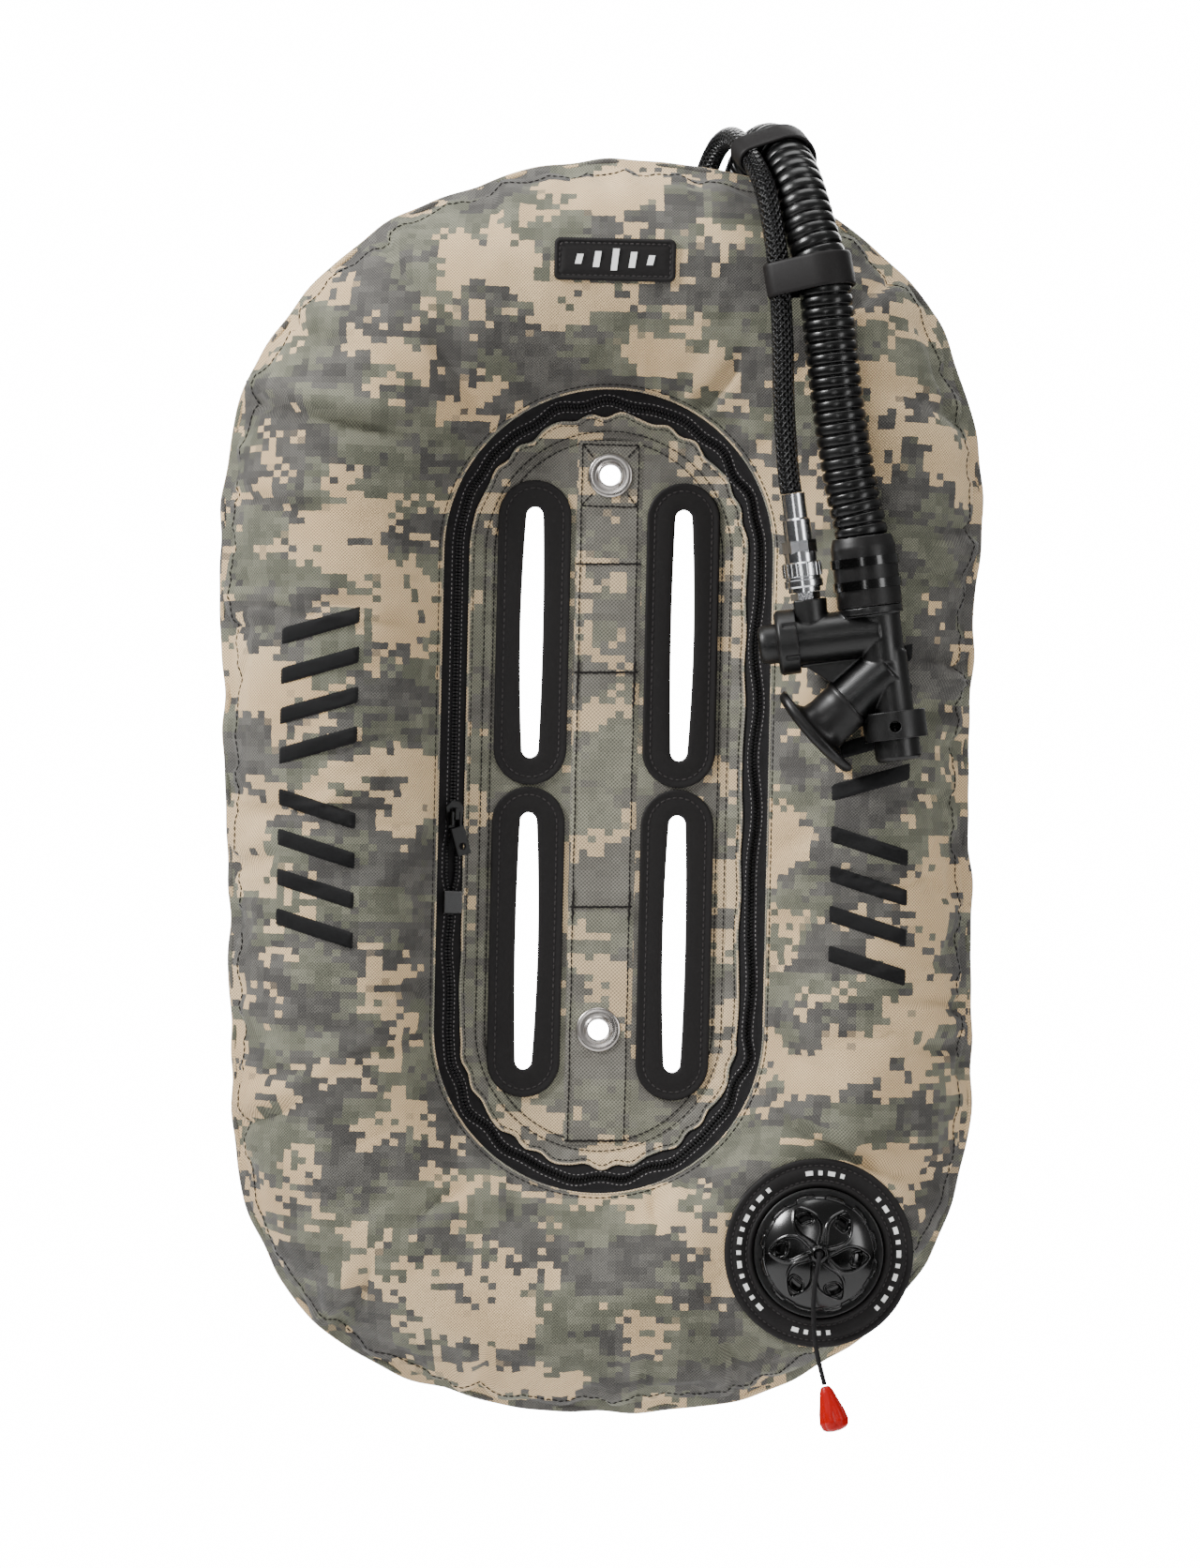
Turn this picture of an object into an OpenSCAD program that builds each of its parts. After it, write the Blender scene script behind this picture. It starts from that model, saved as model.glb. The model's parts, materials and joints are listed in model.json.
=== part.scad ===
// Buoyancy wing: a ring-shaped air cell in a zipped fabric shell, with its inflator and dump valve.
// +Z is up when worn, +X is the wearer's left and -Y faces the wearer's back.
// The origin is midway between the two bolt grommets, in the centre panel's middle plane.

/* [Wing] */
// Width across the shoulders
wing_w = 380; // [370:1:390]
// Width near the hem
hem_w = 374; // [364:1:384]
// Rise of the top edge above the upper centre
shoulder_rise = 190; // [184:1:196]
// Drop of the hem below the lower centre
hem_drop = 187; // [181:1:193]
// Depth of the filled wing in front of the centre plane
front_depth = 38; // [34:1:38]
// Depth of the filled wing behind the centre plane
back_depth = 38; // [34:1:38]
// Width of the flat seam lip round the edge
lip_w = 5; // [4:0.5:7]
// Thickness of the shell fabric with its coating
skin_t = 1.2; // [0.8:0.1:1.2]

/* [Centre panel] */
// Radius of the panel's round ends at the seam
panel_r = 63; // [62:0.5:64]
// Height of the panel's upper end centre
panel_up = 100; // [98:1:102]
// Depth of the panel's lower end centre
panel_down = 139; // [137:1:141]
// Thickness of the panel
panel_t = 3; // [2.5:0.1:3.5]
// Distance between the two bolt grommets
bolt_spacing = 279.4; // [279.4]
// Bore of a grommet
grommet_bore = 10.4; // [10.4]
// Outer width of a grommet
grommet_w = 22.6; // [21:0.2:24]
// Width of the centre webbing
webbing_w = 34; // [30:1:36]

/* [Strap slots] */
// Distance from the middle to each row of slots
slot_x = 37.5; // [37:0.5:38]
// Width of a slot
slot_w = 11; // [9:0.5:12]
// Width of a rubber slot frame
frame_w = 36.8; // [34:0.2:36.8]
// Thickness of a slot frame
frame_t = 2; // [1.5:0.1:2.5]

/* [Zip] */
// Distance from the panel seam to the outer edge of the zip
zip_reach = 20; // [20:0.5:21]
// Slope of the shell under the zip
zip_slope = 22; // [20:1:24]
// Height of the slider on its run
slider_z = -33; // [-45:1:-25]

/* [Dump valve] */
// Distance of the valve to the wearer's left
valve_x = 113; // [112:0.5:114]
// Height of the valve
valve_z = -248.5; // [-249.5:0.5:-247.5]
// Outer width of the sewn rubber ring
valve_ring_w = 95; // [92:1:96]
// Outer width of the valve cap
valve_cap_w = 61; // [60:0.5:62]
// Lift of the valve disc when the cord is pulled
valve_lift = 5; // [4:0.5:5]

/* [Inflator] */
// Lean of the inflator from upright
inflator_lean = 8.2; // [8.2]
// Outer radius of the inflator's main tube
main_r = 10.4; // [10:0.1:10.4]
// Outer radius of the inflator's cross tube and branch
cross_r = 12.3; // [12.3:0.1:12.8]
// Travel of the inflate button
inflate_travel = 3.5; // [2:0.5:3.5]
// Travel of the oral button
oral_travel = 4; // [2:0.5:4]

/* [Hoses] */
// Outer width of the corrugated hose
hose_w = 27; // [26:0.5:27]
// Outer width of the low-pressure hose
feed_w = 11; // [10:0.5:11]
// Width of a hose retainer band
band_w = 17; // [14:1:18]
// Width of the dump valve's pull cord
cord_w = 2.4; // [2:0.1:2.4]

/* [Hidden] */

$fn = 48;
fabric_colour = [0.53, 0.53, 0.44];
black_rubber = [0.13, 0.12, 0.12];
black_plastic = [0.08, 0.08, 0.08];
bright_metal = [0.80, 0.81, 0.83];
sealed = 0.05;

// Wing outline: two superellipse ends on straight sides.
upper_centre = 110;
lower_centre = -146;
shoulder_power = 2.1;
hem_power = 2.4;
arc_steps = 20;
side_steps = 6;
seam_h = 2.4;
lip_h = 1.5;
crown_power = 0.72;
cell_gap = 0.8;
zip_well = 3;

function mix(a, b, t) = a + (b - a) * t;
function limit(v) = max(0, min(1, v));
function ease(v) = let (t = limit(v)) t * t * (3 - 2 * t);
function super_r(a, half_x, half_z, power) =
    pow(pow(abs(cos(a)) / half_x, power) + pow(abs(sin(a)) / half_z, power), -1 / power);

// A station is [angle, level]: level is 1 at the upper centre and 0 at the lower one.
stations = concat(
    [for (i = [0:arc_steps - 1]) [180 * i / arc_steps, 1]],
    [for (i = [0:side_steps - 1]) [180, 1 - i / side_steps]],
    [for (i = [0:arc_steps - 1]) [180 + 180 * i / arc_steps, 0]],
    [for (i = [0:side_steps - 1]) [360, i / side_steps]]);

function inner_point(st) =
    [panel_r * cos(st[0]), mix(-panel_down, panel_up, st[1]) + panel_r * sin(st[0])];
function outer_radius(st) =
    mix(super_r(st[0], hem_w / 2, hem_drop, hem_power),
        super_r(st[0], wing_w / 2, shoulder_rise, shoulder_power), st[1]);
function outer_point(st) =
    [outer_radius(st) * cos(st[0]), mix(lower_centre, upper_centre, st[1]) + outer_radius(st) * sin(st[0])];
function seam_span(st) = norm(outer_point(st) - inner_point(st)) - lip_w;
function across(st, d) =
    inner_point(st) + (outer_point(st) - inner_point(st)) * d / (seam_span(st) + lip_w);

// Height of the filled shell over the centre plane, at distance d from the panel seam.
valve_flat_h = 36;
valve_at = [valve_x, valve_z];
elbow_at = [60, 195];
flat_in = 47;
flat_fade = 24;
elbow_flat_in = 26;
edge_start = 0.93;
zip_top_h = seam_h + zip_reach * tan(zip_slope);

function crown(s, h0, h1, depth) =
    mix(h0, h1, s) + (depth - (h0 + h1) / 2) * pow(sin(180 * s), crown_power);
function edge_round(s) = sqrt(max(0, 1 - pow(max(0, (s - edge_start) / (1 - edge_start)), 2)));
function levelled(h, s, place, centre, target, reach) =
    let (near = ease((reach + flat_fade - norm(place - centre)) / flat_fade),
         flat_h = mix(lip_h, target, edge_round(s)))
    mix(h, flat_h, near);
function front_share(st, d) = limit((d - zip_reach) / (seam_span(st) - zip_reach));
function front_h(st, d) =
    d < zip_reach ? seam_h + d * tan(zip_slope) :
    let (s = front_share(st, d), h = crown(s, zip_top_h, lip_h, front_depth))
    levelled(h, s, across(st, d), valve_at, valve_flat_h, flat_in);
function back_h(st, d) =
    let (s = limit(d / seam_span(st)), h = crown(s, seam_h, lip_h, back_depth))
    levelled(h, s, across(st, d), elbow_at, back_depth, elbow_flat_in);

crown_shares = [0, 0.04, 0.1, 0.2, 0.35, 0.5, 0.65, 0.8, 0.9, 0.96, 1];
function front_distances(st) = [for (s = crown_shares) mix(zip_reach, seam_span(st), s)];
function back_distances(st) = [for (s = crown_shares) mix(0, seam_span(st), s)];
function front_pt(st, d, lift) = let (p = across(st, d)) [p[0], -front_h(st, d) - lift, p[1]];
function back_pt(st, d, lift) = let (p = across(st, d)) [p[0], back_h(st, d) + lift, p[1]];
function reversed(list) = [for (i = [len(list) - 1:-1:0]) list[i]];

// A closed ring through sections that all have the same number of points.
module ring_solid(sections) {
    rows = len(sections);
    cols = len(sections[0]);
    points = [for (section = sections) each section];
    faces = [for (i = [0:rows - 1]) for (j = [0:cols - 1])
        let (a = i * cols + j, b = i * cols + (j + 1) % cols,
             c = ((i + 1) % rows) * cols + (j + 1) % cols, e = ((i + 1) % rows) * cols + j)
        each [[a, b, c], [a, c, e]]];
    polyhedron(points, faces, convexity = 6);
}

// A strip that lies on the front of the shell, from distance d0 to d1 and from height low to high.
module front_strip(d0, d1, low, high) {
    ring_solid([for (st = stations)
        [front_pt(st, d0, low), front_pt(st, d1, low), front_pt(st, d1, high), front_pt(st, d0, high)]]);
}

module front_cut(centre, r, deep, high) {
    translate([centre[0], -high, centre[1]])
        rotate([-90, 0, 0])
            cylinder(r = r, h = deep);
}

recess_r = 24;
recess_deep = 16;
elbow_hole_r = 14;
elbow_hole_deep = 12;
cell_inner = 3;
cell_edge = 1;

module valve_hole() {
    front_cut(valve_at, recess_r, recess_deep, 40);
}

module elbow_hole() {
    front_cut(elbow_at, elbow_hole_r, elbow_hole_deep, -28.5);
}

// The air cell keeps the shell's heights, pulled in a little from both of its edges.
function cell_place(st, d) = across(st, max(cell_inner, min(d, seam_span(st) - cell_edge)));
function cell_front(st, d) =
    let (p = cell_place(st, d), gap = d < zip_reach + 1 ? zip_well : cell_gap)
    [p[0], gap - front_h(st, d), p[1]];
function cell_back(st, d) = let (p = cell_place(st, d)) [p[0], back_h(st, d) - cell_gap, p[1]];

module bladder() {
    color([0.75, 0.35, 0.10])
        difference() {
            ring_solid([for (st = stations) concat(
                [front_pt(st, cell_inner, 1 - zip_well)],
                [for (d = front_distances(st)) cell_front(st, d)],
                reversed([for (d = back_distances(st)) cell_back(st, d)]))]);
            valve_hole();
            elbow_hole();
        }
}

module shell_front() {
    color(fabric_colour)
        difference() {
            ring_solid([for (st = stations) concat(
                [for (d = front_distances(st)) front_pt(st, d, 0)],
                reversed([for (d = front_distances(st)) front_pt(st, d, skin_t)]))]);
            valve_hole();
        }
}

module shell_back() {
    color(fabric_colour)
        difference() {
            ring_solid([for (st = stations) concat(
                [for (d = back_distances(st)) back_pt(st, d, skin_t)],
                reversed([for (d = back_distances(st)) back_pt(st, d, 0)]))]);
            elbow_hole();
        }
}

module perimeter_seam() {
    color(fabric_colour)
        ring_solid([for (st = stations)
            let (a = across(st, seam_span(st) + 0.05), b = outer_point(st), h = lip_h + skin_t)
            [[a[0], -h, a[1]], [b[0], -h, b[1]], [b[0], h, b[1]], [a[0], h, a[1]]]]);
}

// Centre panel.
panel_gap = 1;
grommet_z = bolt_spacing / 2;
barrel_r = 6;
upper_slot = [-3.5, 123];
lower_slot = [-160.5, -31];
upper_frame = [-17, 136.5];
lower_frame = [-174.5, -18];

module stadium(w, low, high, t) {
    r = w / 2;
    rotate([90, 0, 0])
        linear_extrude(height = t, center = true)
            union() {
                translate([0, low + r])
                    circle(r = r);
                translate([0, high - r])
                    circle(r = r);
                translate([-r, low + r])
                    square([w, high - low - w]);
            }
}

module both_sides() {
    for (side = [-1, 1])
        translate([side * slot_x, 0, 0])
            children();
}

module bolt_holes(r) {
    for (z = [-grommet_z, grommet_z])
        translate([0, 0, z])
            rotate([90, 0, 0])
                cylinder(r = r, h = 20, center = true);
}

module strap_slots(w) {
    both_sides() {
        stadium(w, upper_slot[0], upper_slot[1], 20);
        stadium(w, lower_slot[0], lower_slot[1], 20);
    }
}

module centre_panel() {
    r = panel_r - panel_gap;
    color(fabric_colour)
        difference() {
            stadium(2 * r, -panel_down - r, panel_up + r, panel_t);
            strap_slots(slot_w + 1);
            bolt_holes(barrel_r + 0.2);
        }
}

webbing_t = 1.2;
webbing_ends = [-198, 157];

module centre_webbing() {
    color(fabric_colour)
        difference() {
            translate([-webbing_w / 2, -panel_t / 2 - webbing_t, webbing_ends[0]])
                cube([webbing_w, webbing_t, webbing_ends[1] - webbing_ends[0]]);
            bolt_holes(barrel_r + 0.2);
        }
}

module slot_frame(span, opening, side) {
    color(black_rubber)
        translate([side * slot_x, -panel_t / 2 - frame_t / 2, 0])
            difference() {
                stadium(frame_w, span[0], span[1], frame_t);
                stadium(slot_w, opening[0], opening[1], 20);
            }
}

module slot_frame_upper_left() {
    slot_frame(upper_frame, upper_slot, -1);
}

module slot_frame_upper_right() {
    slot_frame(upper_frame, upper_slot, 1);
}

module slot_frame_lower_left() {
    slot_frame(lower_frame, lower_slot, -1);
}

module slot_frame_lower_right() {
    slot_frame(lower_frame, lower_slot, 1);
}

module slot_frames_back() {
    color(black_rubber)
        translate([0, panel_t / 2 + frame_t / 2, 0])
            difference() {
                both_sides() {
                    stadium(frame_w, upper_frame[0], upper_frame[1], frame_t);
                    stadium(frame_w, lower_frame[0], lower_frame[1], frame_t);
                }
                strap_slots(slot_w);
            }
}

// A grommet: rolled flange on the front, barrel through the panel, washer behind.
grommet_face = -panel_t / 2 - webbing_t;
rolled_h = 1.6;

module grommet(z) {
    bore = grommet_bore / 2;
    outer = grommet_w / 2;
    length = panel_t + webbing_t + rolled_h + 1.2;
    color(bright_metal)
        translate([0, grommet_face - rolled_h, z])
            rotate([-90, 0, 0])
                rotate_extrude()
                    polygon([[bore, 0.4], [bore + 0.4, 0], [bore + 1.6, 0], [bore + 2, 0.7], [outer - 1.4, 0.7],
                        [outer - 0.4, 1], [outer, rolled_h - 0.1], [outer, rolled_h], [barrel_r, rolled_h],
                        [barrel_r, length], [bore, length]]);
}

module grommet_washer(z) {
    color(bright_metal)
        translate([0, panel_t / 2 + 0.1, z])
            rotate([-90, 0, 0])
                difference() {
                    cylinder(r = grommet_w / 2 - 0.3, h = 1);
                    translate([0, 0, -1])
                        cylinder(r = barrel_r + sealed, h = 3);
                }
}

module grommet_top() {
    grommet(grommet_z);
}

module grommet_top_washer() {
    grommet_washer(grommet_z);
}

module grommet_bottom() {
    grommet(-grommet_z);
}

module grommet_bottom_washer() {
    grommet_washer(-grommet_z);
}

// Zip: everything is placed by its distance from the panel seam.
teeth_mid = 13;
teeth_gap = 0.5;
teeth_w = 2.6;
tape_t = 0.8;
teeth_t = 1.4;
facing_w = 6.8;

module zip_facing() {
    color(fabric_colour)
        front_strip(0.3, facing_w, 0, skin_t);
}

module zip_tape_outer() {
    color(black_rubber)
        front_strip(teeth_mid + teeth_gap, zip_reach - 0.1, 0, tape_t);
}

module zip_tape_inner() {
    color(black_rubber)
        front_strip(facing_w + 0.1, teeth_mid - teeth_gap, 0, tape_t);
}

module zip_teeth_outer() {
    color(black_plastic)
        front_strip(teeth_mid + teeth_gap, teeth_mid + teeth_gap + teeth_w, tape_t + 0.02, tape_t + teeth_t);
}

module zip_teeth_inner() {
    color(black_plastic)
        front_strip(teeth_mid - teeth_gap - teeth_w, teeth_mid - teeth_gap, tape_t + 0.02, tape_t + teeth_t);
}

// Local frame of the slider: x away from the panel, y out of the shell, z along the run.
module on_zip(z) {
    translate([-panel_r - teeth_mid, -seam_h - teeth_mid * tan(zip_slope), z])
        rotate([0, 0, 180 + zip_slope])
            children();
}

box_z = -77;
box_size = [10, 1.6, 11.5];
plate_n = 2.5;
plate_t = 1.6;
under_n = -0.35;
under_t = 1.2;
slider_w = 10;
slider_l = 14;
hinge_n = 6.2;
hinge_r = 0.8;
post_w = 0.5;
post_n = [under_n - 0.2, plate_n + 0.2];

module zip_box() {
    color(black_plastic)
        on_zip(box_z)
            translate([-box_size[0] / 2, plate_n, -box_size[2] / 2])
                cube(box_size);
}

module slider_plate(n, t) {
    translate([0, n + t, 0])
        rotate([90, 0, 0])
            linear_extrude(height = t)
                polygon([[-slider_w / 2, slider_l / 2 - 3], [-slider_w / 2 + 3, slider_l / 2],
                    [slider_w / 2 - 3, slider_l / 2], [slider_w / 2, slider_l / 2 - 3],
                    [slider_w / 2 - 1.5, -slider_l / 2], [-slider_w / 2 + 1.5, -slider_l / 2]]);
}

module zip_slider() {
    color(black_plastic)
        on_zip(slider_z)
            difference() {
                union() {
                    slider_plate(plate_n, plate_t);
                    slider_plate(under_n - under_t, under_t);
                    translate([0, 0, -1])
                        linear_extrude(height = 7)
                            polygon([for (at = [[-post_w / 2, post_n[0]], [post_w / 2, post_n[0]],
                                [post_w / 2, post_n[1]], [-post_w / 2, post_n[1]]])
                                [at[0] + at[1] * tan(zip_slope), at[1]]]);
                    translate([-1.2, plate_n + plate_t - 0.2, -2.5])
                        cube([2.4, hinge_n + 1.6 - plate_n - plate_t + 0.2, 6]);
                }
                translate([0, hinge_n, 0])
                    rotate([0, 90, 0])
                        cylinder(r = hinge_r + 0.08, h = 20, center = true);
            }
}

pull_l = 20;
pull_w = 7.4;
pull_t = 1.8;
cheek_x = 1.5;
pull_swing = 17;

module zip_pull() {
    color(black_plastic)
        on_zip(slider_z)
            translate([0, hinge_n, 0]) {
                rotate([0, 90, 0])
                    cylinder(r = hinge_r, h = 2 * cheek_x + 2, center = true);
                for (side = [-1, 1])
                    translate([side > 0 ? cheek_x : -cheek_x - 1.4, -pull_t / 2, -5.6])
                        cube([1.4, pull_t, 7.2]);
                translate([0, 0, -5])
                    rotate([0, pull_swing, 0])
                        translate([-pull_w / 2, -pull_t / 2, 4.2 - pull_l])
                            difference() {
                                cube([pull_w, pull_t, pull_l - 5.4]);
                                translate([pull_w / 2, -1, 4.5])
                                    rotate([-90, 0, 0])
                                        cylinder(r = 1.6, h = 5);
                            }
            }
}

// Trim sewn to the shell.
patch_size = [61, 21.5];
patch_z = 247;
patch_t = 1.6;
patch_corner = 3;

module top_patch() {
    w = patch_size[0];
    h = patch_size[1];
    r = patch_corner;
    color(black_rubber)
        translate([0, -front_depth - skin_t - 0.3, patch_z])
            rotate([90, 0, 0])
                linear_extrude(height = patch_t)
                    union() {
                        square([w - 2 * r, h], center = true);
                        square([w, h - 2 * r], center = true);
                        for (sx = [-1, 1])
                            for (sz = [-1, 1])
                                translate([sx * (w / 2 - r), sz * (h / 2 - r)])
                                    circle(r = r);
                    }
}

// A slanted embroidered bar that follows the shell on a straight side.
bar_cuts = 4;
motif_w = 40;
motif_rise = 12;
bar_h = 9;
bar_pitch = 20;
bar_t = 0.9;
bars_each_way = 4;

function side_level(z) = (z + panel_down) / (panel_up + panel_down);
function side_y(x, z) =
    -front_h([x < 0 ? 180 : 360, side_level(z)], abs(x) - panel_r) - skin_t - 0.4;

module stitched_bar(centre_x, z0, z1) {
    sections = [for (i = [0:bar_cuts])
        let (t = i / bar_cuts, x = centre_x + (t - 0.5) * motif_w, z = mix(z0, z1, t),
             y = side_y(x, z))
        [[x, y, z], [x, y, z + bar_h], [x, y - bar_t, z + bar_h], [x, y - bar_t, z]]];
    sweep_solid(sections);
}

module motif(centre_x, centre_z) {
    color(black_rubber)
        for (k = [0:bars_each_way - 1])
            for (way = [-1, 1])
                stitched_bar(centre_x, centre_z + way * (10 + k * bar_pitch) - bar_h / 2,
                    centre_z + way * (10 + k * bar_pitch + motif_rise) - bar_h / 2);
}

module embroidery_left() {
    motif(-143.5, -15.5);
}

module embroidery_right() {
    motif(134, -28);
}

// An open solid through sections that all have the same number of points, with flat ends.
module sweep_solid(sections) {
    rows = len(sections);
    cols = len(sections[0]);
    points = [for (section = sections) each section];
    walls = [for (i = [0:rows - 2]) for (j = [0:cols - 1])
        let (a = i * cols + j, b = i * cols + (j + 1) % cols)
        each [[a, b, b + cols], [a, b + cols, a + cols]]];
    start = [for (j = [cols - 1:-1:0]) j];
    end = [for (j = [0:cols - 1]) (rows - 1) * cols + j];
    polyhedron(points, concat([start], walls, [end]), convexity = 6);
}

// Dump valve, on an axis along Y.
seat_y = -valve_flat_h - skin_t;
valve_ring_bore = 33;
valve_ring_t = 2.2;
throat_r = 14;
cap_r = valve_cap_w / 2;
cap_base = 4.2;
cap_rise = 17;
stem_r = 2;
disc_r = 17;
disc_at = 7.2;
disc_t = 2.4;

// Puts z = 0 on the shell at the valve, with z pointing out of the shell.
module on_valve() {
    translate([valve_x, seat_y, valve_z])
        rotate([90, 0, 0])
            children();
}

module tube(r_in, r_out, low, high) {
    translate([0, 0, low])
        difference() {
            cylinder(r = r_out, h = high - low);
            translate([0, 0, -1])
                cylinder(r = r_in, h = high - low + 2);
        }
}

module valve_patch_ring() {
    color(black_rubber)
        on_valve()
            tube(valve_ring_bore, valve_ring_w / 2, 0.35, valve_ring_t);
}

module valve_gasket() {
    color(black_rubber)
        on_valve()
            tube(21.2, 23.6, -2, 0);
}

module valve_base() {
    color(black_plastic)
        on_valve()
            rotate_extrude()
                polygon([[throat_r, -13], [21, -13], [21, 0.1], [32.5, 0.1], [32.5, 3.2], [26, 3.2],
                    [26, 9], [23.5, 9], [23.5, 4.2], [17, 4.2], [17, 7.1], [15.6, 7.1], [throat_r, 6]]);
}

module valve_disc() {
    color([0.30, 0.30, 0.31])
        on_valve() {
            translate([0, 0, disc_at])
                cylinder(r = disc_r, h = disc_t);
            translate([0, 0, disc_at + disc_t])
                cylinder(r = 4, h = 1.2);
            translate([0, 0, disc_at + disc_t + 1.1])
                cylinder(r = stem_r, h = cap_base + cap_rise - disc_at - disc_t - 1.1);
        }
}

cap_windows = 6;
window_at = 19;
window_r = 4.4;
cap_notches = 18;

module valve_cap() {
    top = cap_base + cap_rise;
    color(black_plastic)
        on_valve()
            difference() {
                rotate_extrude()
                    polygon([[26.4, cap_base], [cap_r, cap_base], [cap_r, 10.5], [cap_r - 1.5, 12.5], [24, 16.2],
                        [15, 19], [8, top - 0.6], [5.5, top], [stem_r + 0.08, top], [stem_r + 0.08, top - 4],
                        [8, top - 3.6], [14, 16.4], [22, 14], [26.4, 11.4]]);
                for (k = [0:cap_windows - 1])
                    rotate([0, 0, 60 * k + 30])
                        translate([window_at, 0, 8])
                            cylinder(r = window_r, h = 15);
                for (k = [0:cap_notches - 1])
                    rotate([0, 0, 360 * k / cap_notches])
                        translate([cap_r + 1, 0, cap_base - 1])
                            cylinder(r = 2, h = 9);
            }
}

// A helical spring along z, swept as one solid.
spring_sides = 6;
spring_steps = 10;

module spring(r, wire, height, turns) {
    rise = height - wire;
    sweep_solid([for (i = [0:turns * spring_steps])
        let (a = 360 * i / spring_steps, z = wire / 2 + rise * i / (turns * spring_steps))
        [for (j = [0:spring_sides - 1])
            let (b = -360 * j / spring_sides, p = r + wire / 2 * cos(b))
            [p * cos(a), p * sin(a), z + wire / 2 * sin(b)]]]);
}

module valve_spring() {
    color(bright_metal)
        on_valve()
            translate([0, 0, disc_at + disc_t + 0.1])
                spring(6, 1, 7.2, 4);
}

// Hoses and the cord: a smooth route through points along each of them.
function catmull(a, b, c, e, t) =
    0.5 * (2 * b + (c - a) * t + (2 * a - 5 * b + 4 * c - e) * t * t + (3 * b - a - 3 * c + e) * t * t * t);
function smooth_route(route, cuts) = concat(
    [for (i = [0:len(route) - 2]) for (k = [0:cuts - 1])
        catmull(route[max(0, i - 1)], route[i], route[i + 1], route[min(len(route) - 1, i + 2)], k / cuts)],
    [route[len(route) - 1]]);
function unit(v) = v / norm(v);
function heading(path, i) = unit(path[min(len(path) - 1, i + 1)] - path[max(0, i - 1)]);

module swept_tube(path, r, sides) {
    sweep_solid([for (i = [0:len(path) - 1])
        let (t = heading(path, i), u = unit(cross(t, [1, 0, 0])), v = cross(t, u))
        [for (j = [0:sides - 1])
            path[i] + r * (cos(-360 * j / sides) * u + sin(-360 * j / sides) * v)]]);
}

hose_route = [[60, 60, 237], [61, 59, 256], [64.5, 49, 281], [70, 28, 300], [76, 4, 306], [83.5, -18, 301],
    [91, -37, 285], [98, -49, 262], [104, -54.5, 242], [109, -57, 205], [114, -58, 170], [120.5, -58, 135],
    [125.5, -58, 115], [128.3, -58, 96.2]];
feed_route = [[90.5, -58, 131.5], [88.6, -58, 145], [86, -59, 175], [84.5, -58, 210], [82, -55, 242],
    [79, -52.5, 262], [73.5, -46, 286], [64.5, -21, 304], [57.5, 2, 311.5], [50, 24, 306], [43, 41, 287],
    [36, 49, 255], [30, 52, 220], [25, 53, 180], [21, 53, 130], [20, 53, 80], [20, 53, 20]];
cord_route = [[0, 0, 0], [0, -2.4, -1], [-0.5, -3.6, -5], [-1.8, -3.6, -14], [-2.4, -3.2, -28], [-0.6, -2.8, -47],
    [4, -2.6, -65]];

cord_start = [valve_x, seat_y - cap_base - cap_rise - 0.02, valve_z];

module corrugated_hose() {
    color(black_rubber)
        swept_tube(smooth_route(hose_route, 2), hose_w / 2, 12);
}

module feed_hose() {
    color(black_rubber)
        swept_tube(smooth_route(feed_route, 2), feed_w / 2, 10);
}

module pull_cord() {
    color(black_rubber)
        swept_tube([for (p = smooth_route(cord_route, 2)) cord_start + p], cord_w / 2, 8);
}

knob_l = 23;
knob_r = 7.4;

module pull_knob() {
    color([0.85, 0.06, 0.03])
        translate(cord_start + cord_route[len(cord_route) - 1] + [0.2, 0, -0.8])
            rotate([0, 164, 0])
                rotate_extrude()
                    polygon([[0, 0], [2.4, 0], [3.6, 3], [knob_r - 1, 13], [knob_r, 18],
                        [knob_r - 1.4, knob_l - 1.4], [knob_r - 4, knob_l], [0, knob_l]]);
}

// Retainer band round both hoses: the belt line of two circles.
function belt(ra, rb, gap, steps) =
    let (lean = acos((ra - rb) / gap))
    concat(
        [for (i = [0:steps]) let (a = lean + (360 - 2 * lean) * i / steps) [ra * cos(a), ra * sin(a)]],
        [for (i = [0:steps]) let (a = -lean + 2 * lean * i / steps) [gap + rb * cos(a), rb * sin(a)]]);

band_t = 1.8;
band_slack = 1.1;

module hose_band(at, towards, aim) {
    gap_v = towards - at;
    z_dir = unit(aim);
    x_dir = unit(gap_v - (gap_v * z_dir) * z_dir);
    y_dir = cross(z_dir, x_dir);
    gap = gap_v * x_dir;
    big = hose_w / 2 + band_slack;
    small = feed_w / 2 + band_slack;
    color(black_rubber)
        multmatrix([[x_dir[0], y_dir[0], z_dir[0], at[0]], [x_dir[1], y_dir[1], z_dir[1], at[1]],
            [x_dir[2], y_dir[2], z_dir[2], at[2]], [0, 0, 0, 1]])
            translate([0, 0, -band_w / 2])
                difference() {
                    linear_extrude(height = band_w)
                        polygon(belt(big + band_t, small + band_t, gap, 20));
                    translate([0, 0, -1])
                        linear_extrude(height = band_w + 2)
                            polygon(belt(big, small, gap, 20));
                }
}

module hose_band_lower() {
    hose_band(hose_route[8], feed_route[4], hose_route[9] - hose_route[7]);
}

module hose_band_upper() {
    hose_band(hose_route[5], feed_route[7], hose_route[6] - hose_route[4]);
}

// Inflator. Local frame: x across to the main tube, z up the main tube.
inflator_at = [142, -58, 36.4];
barb_x = -5;
cross_z = 27.7;
branch_z = 9;
branch_turn = -124.8;
bore_r = 8;
boss_x = -36.5;
tube_end = -19;
shelf_z = [-12.5, -11];

module on_inflator() {
    translate(inflator_at)
        rotate([0, -inflator_lean, 0])
            children();
}

module on_cross(x) {
    translate([x, 0, cross_z])
        rotate([0, 90, 0])
            children();
}

module on_branch() {
    translate([0, 0, branch_z])
        rotate([0, branch_turn, 0])
            children();
}

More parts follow.
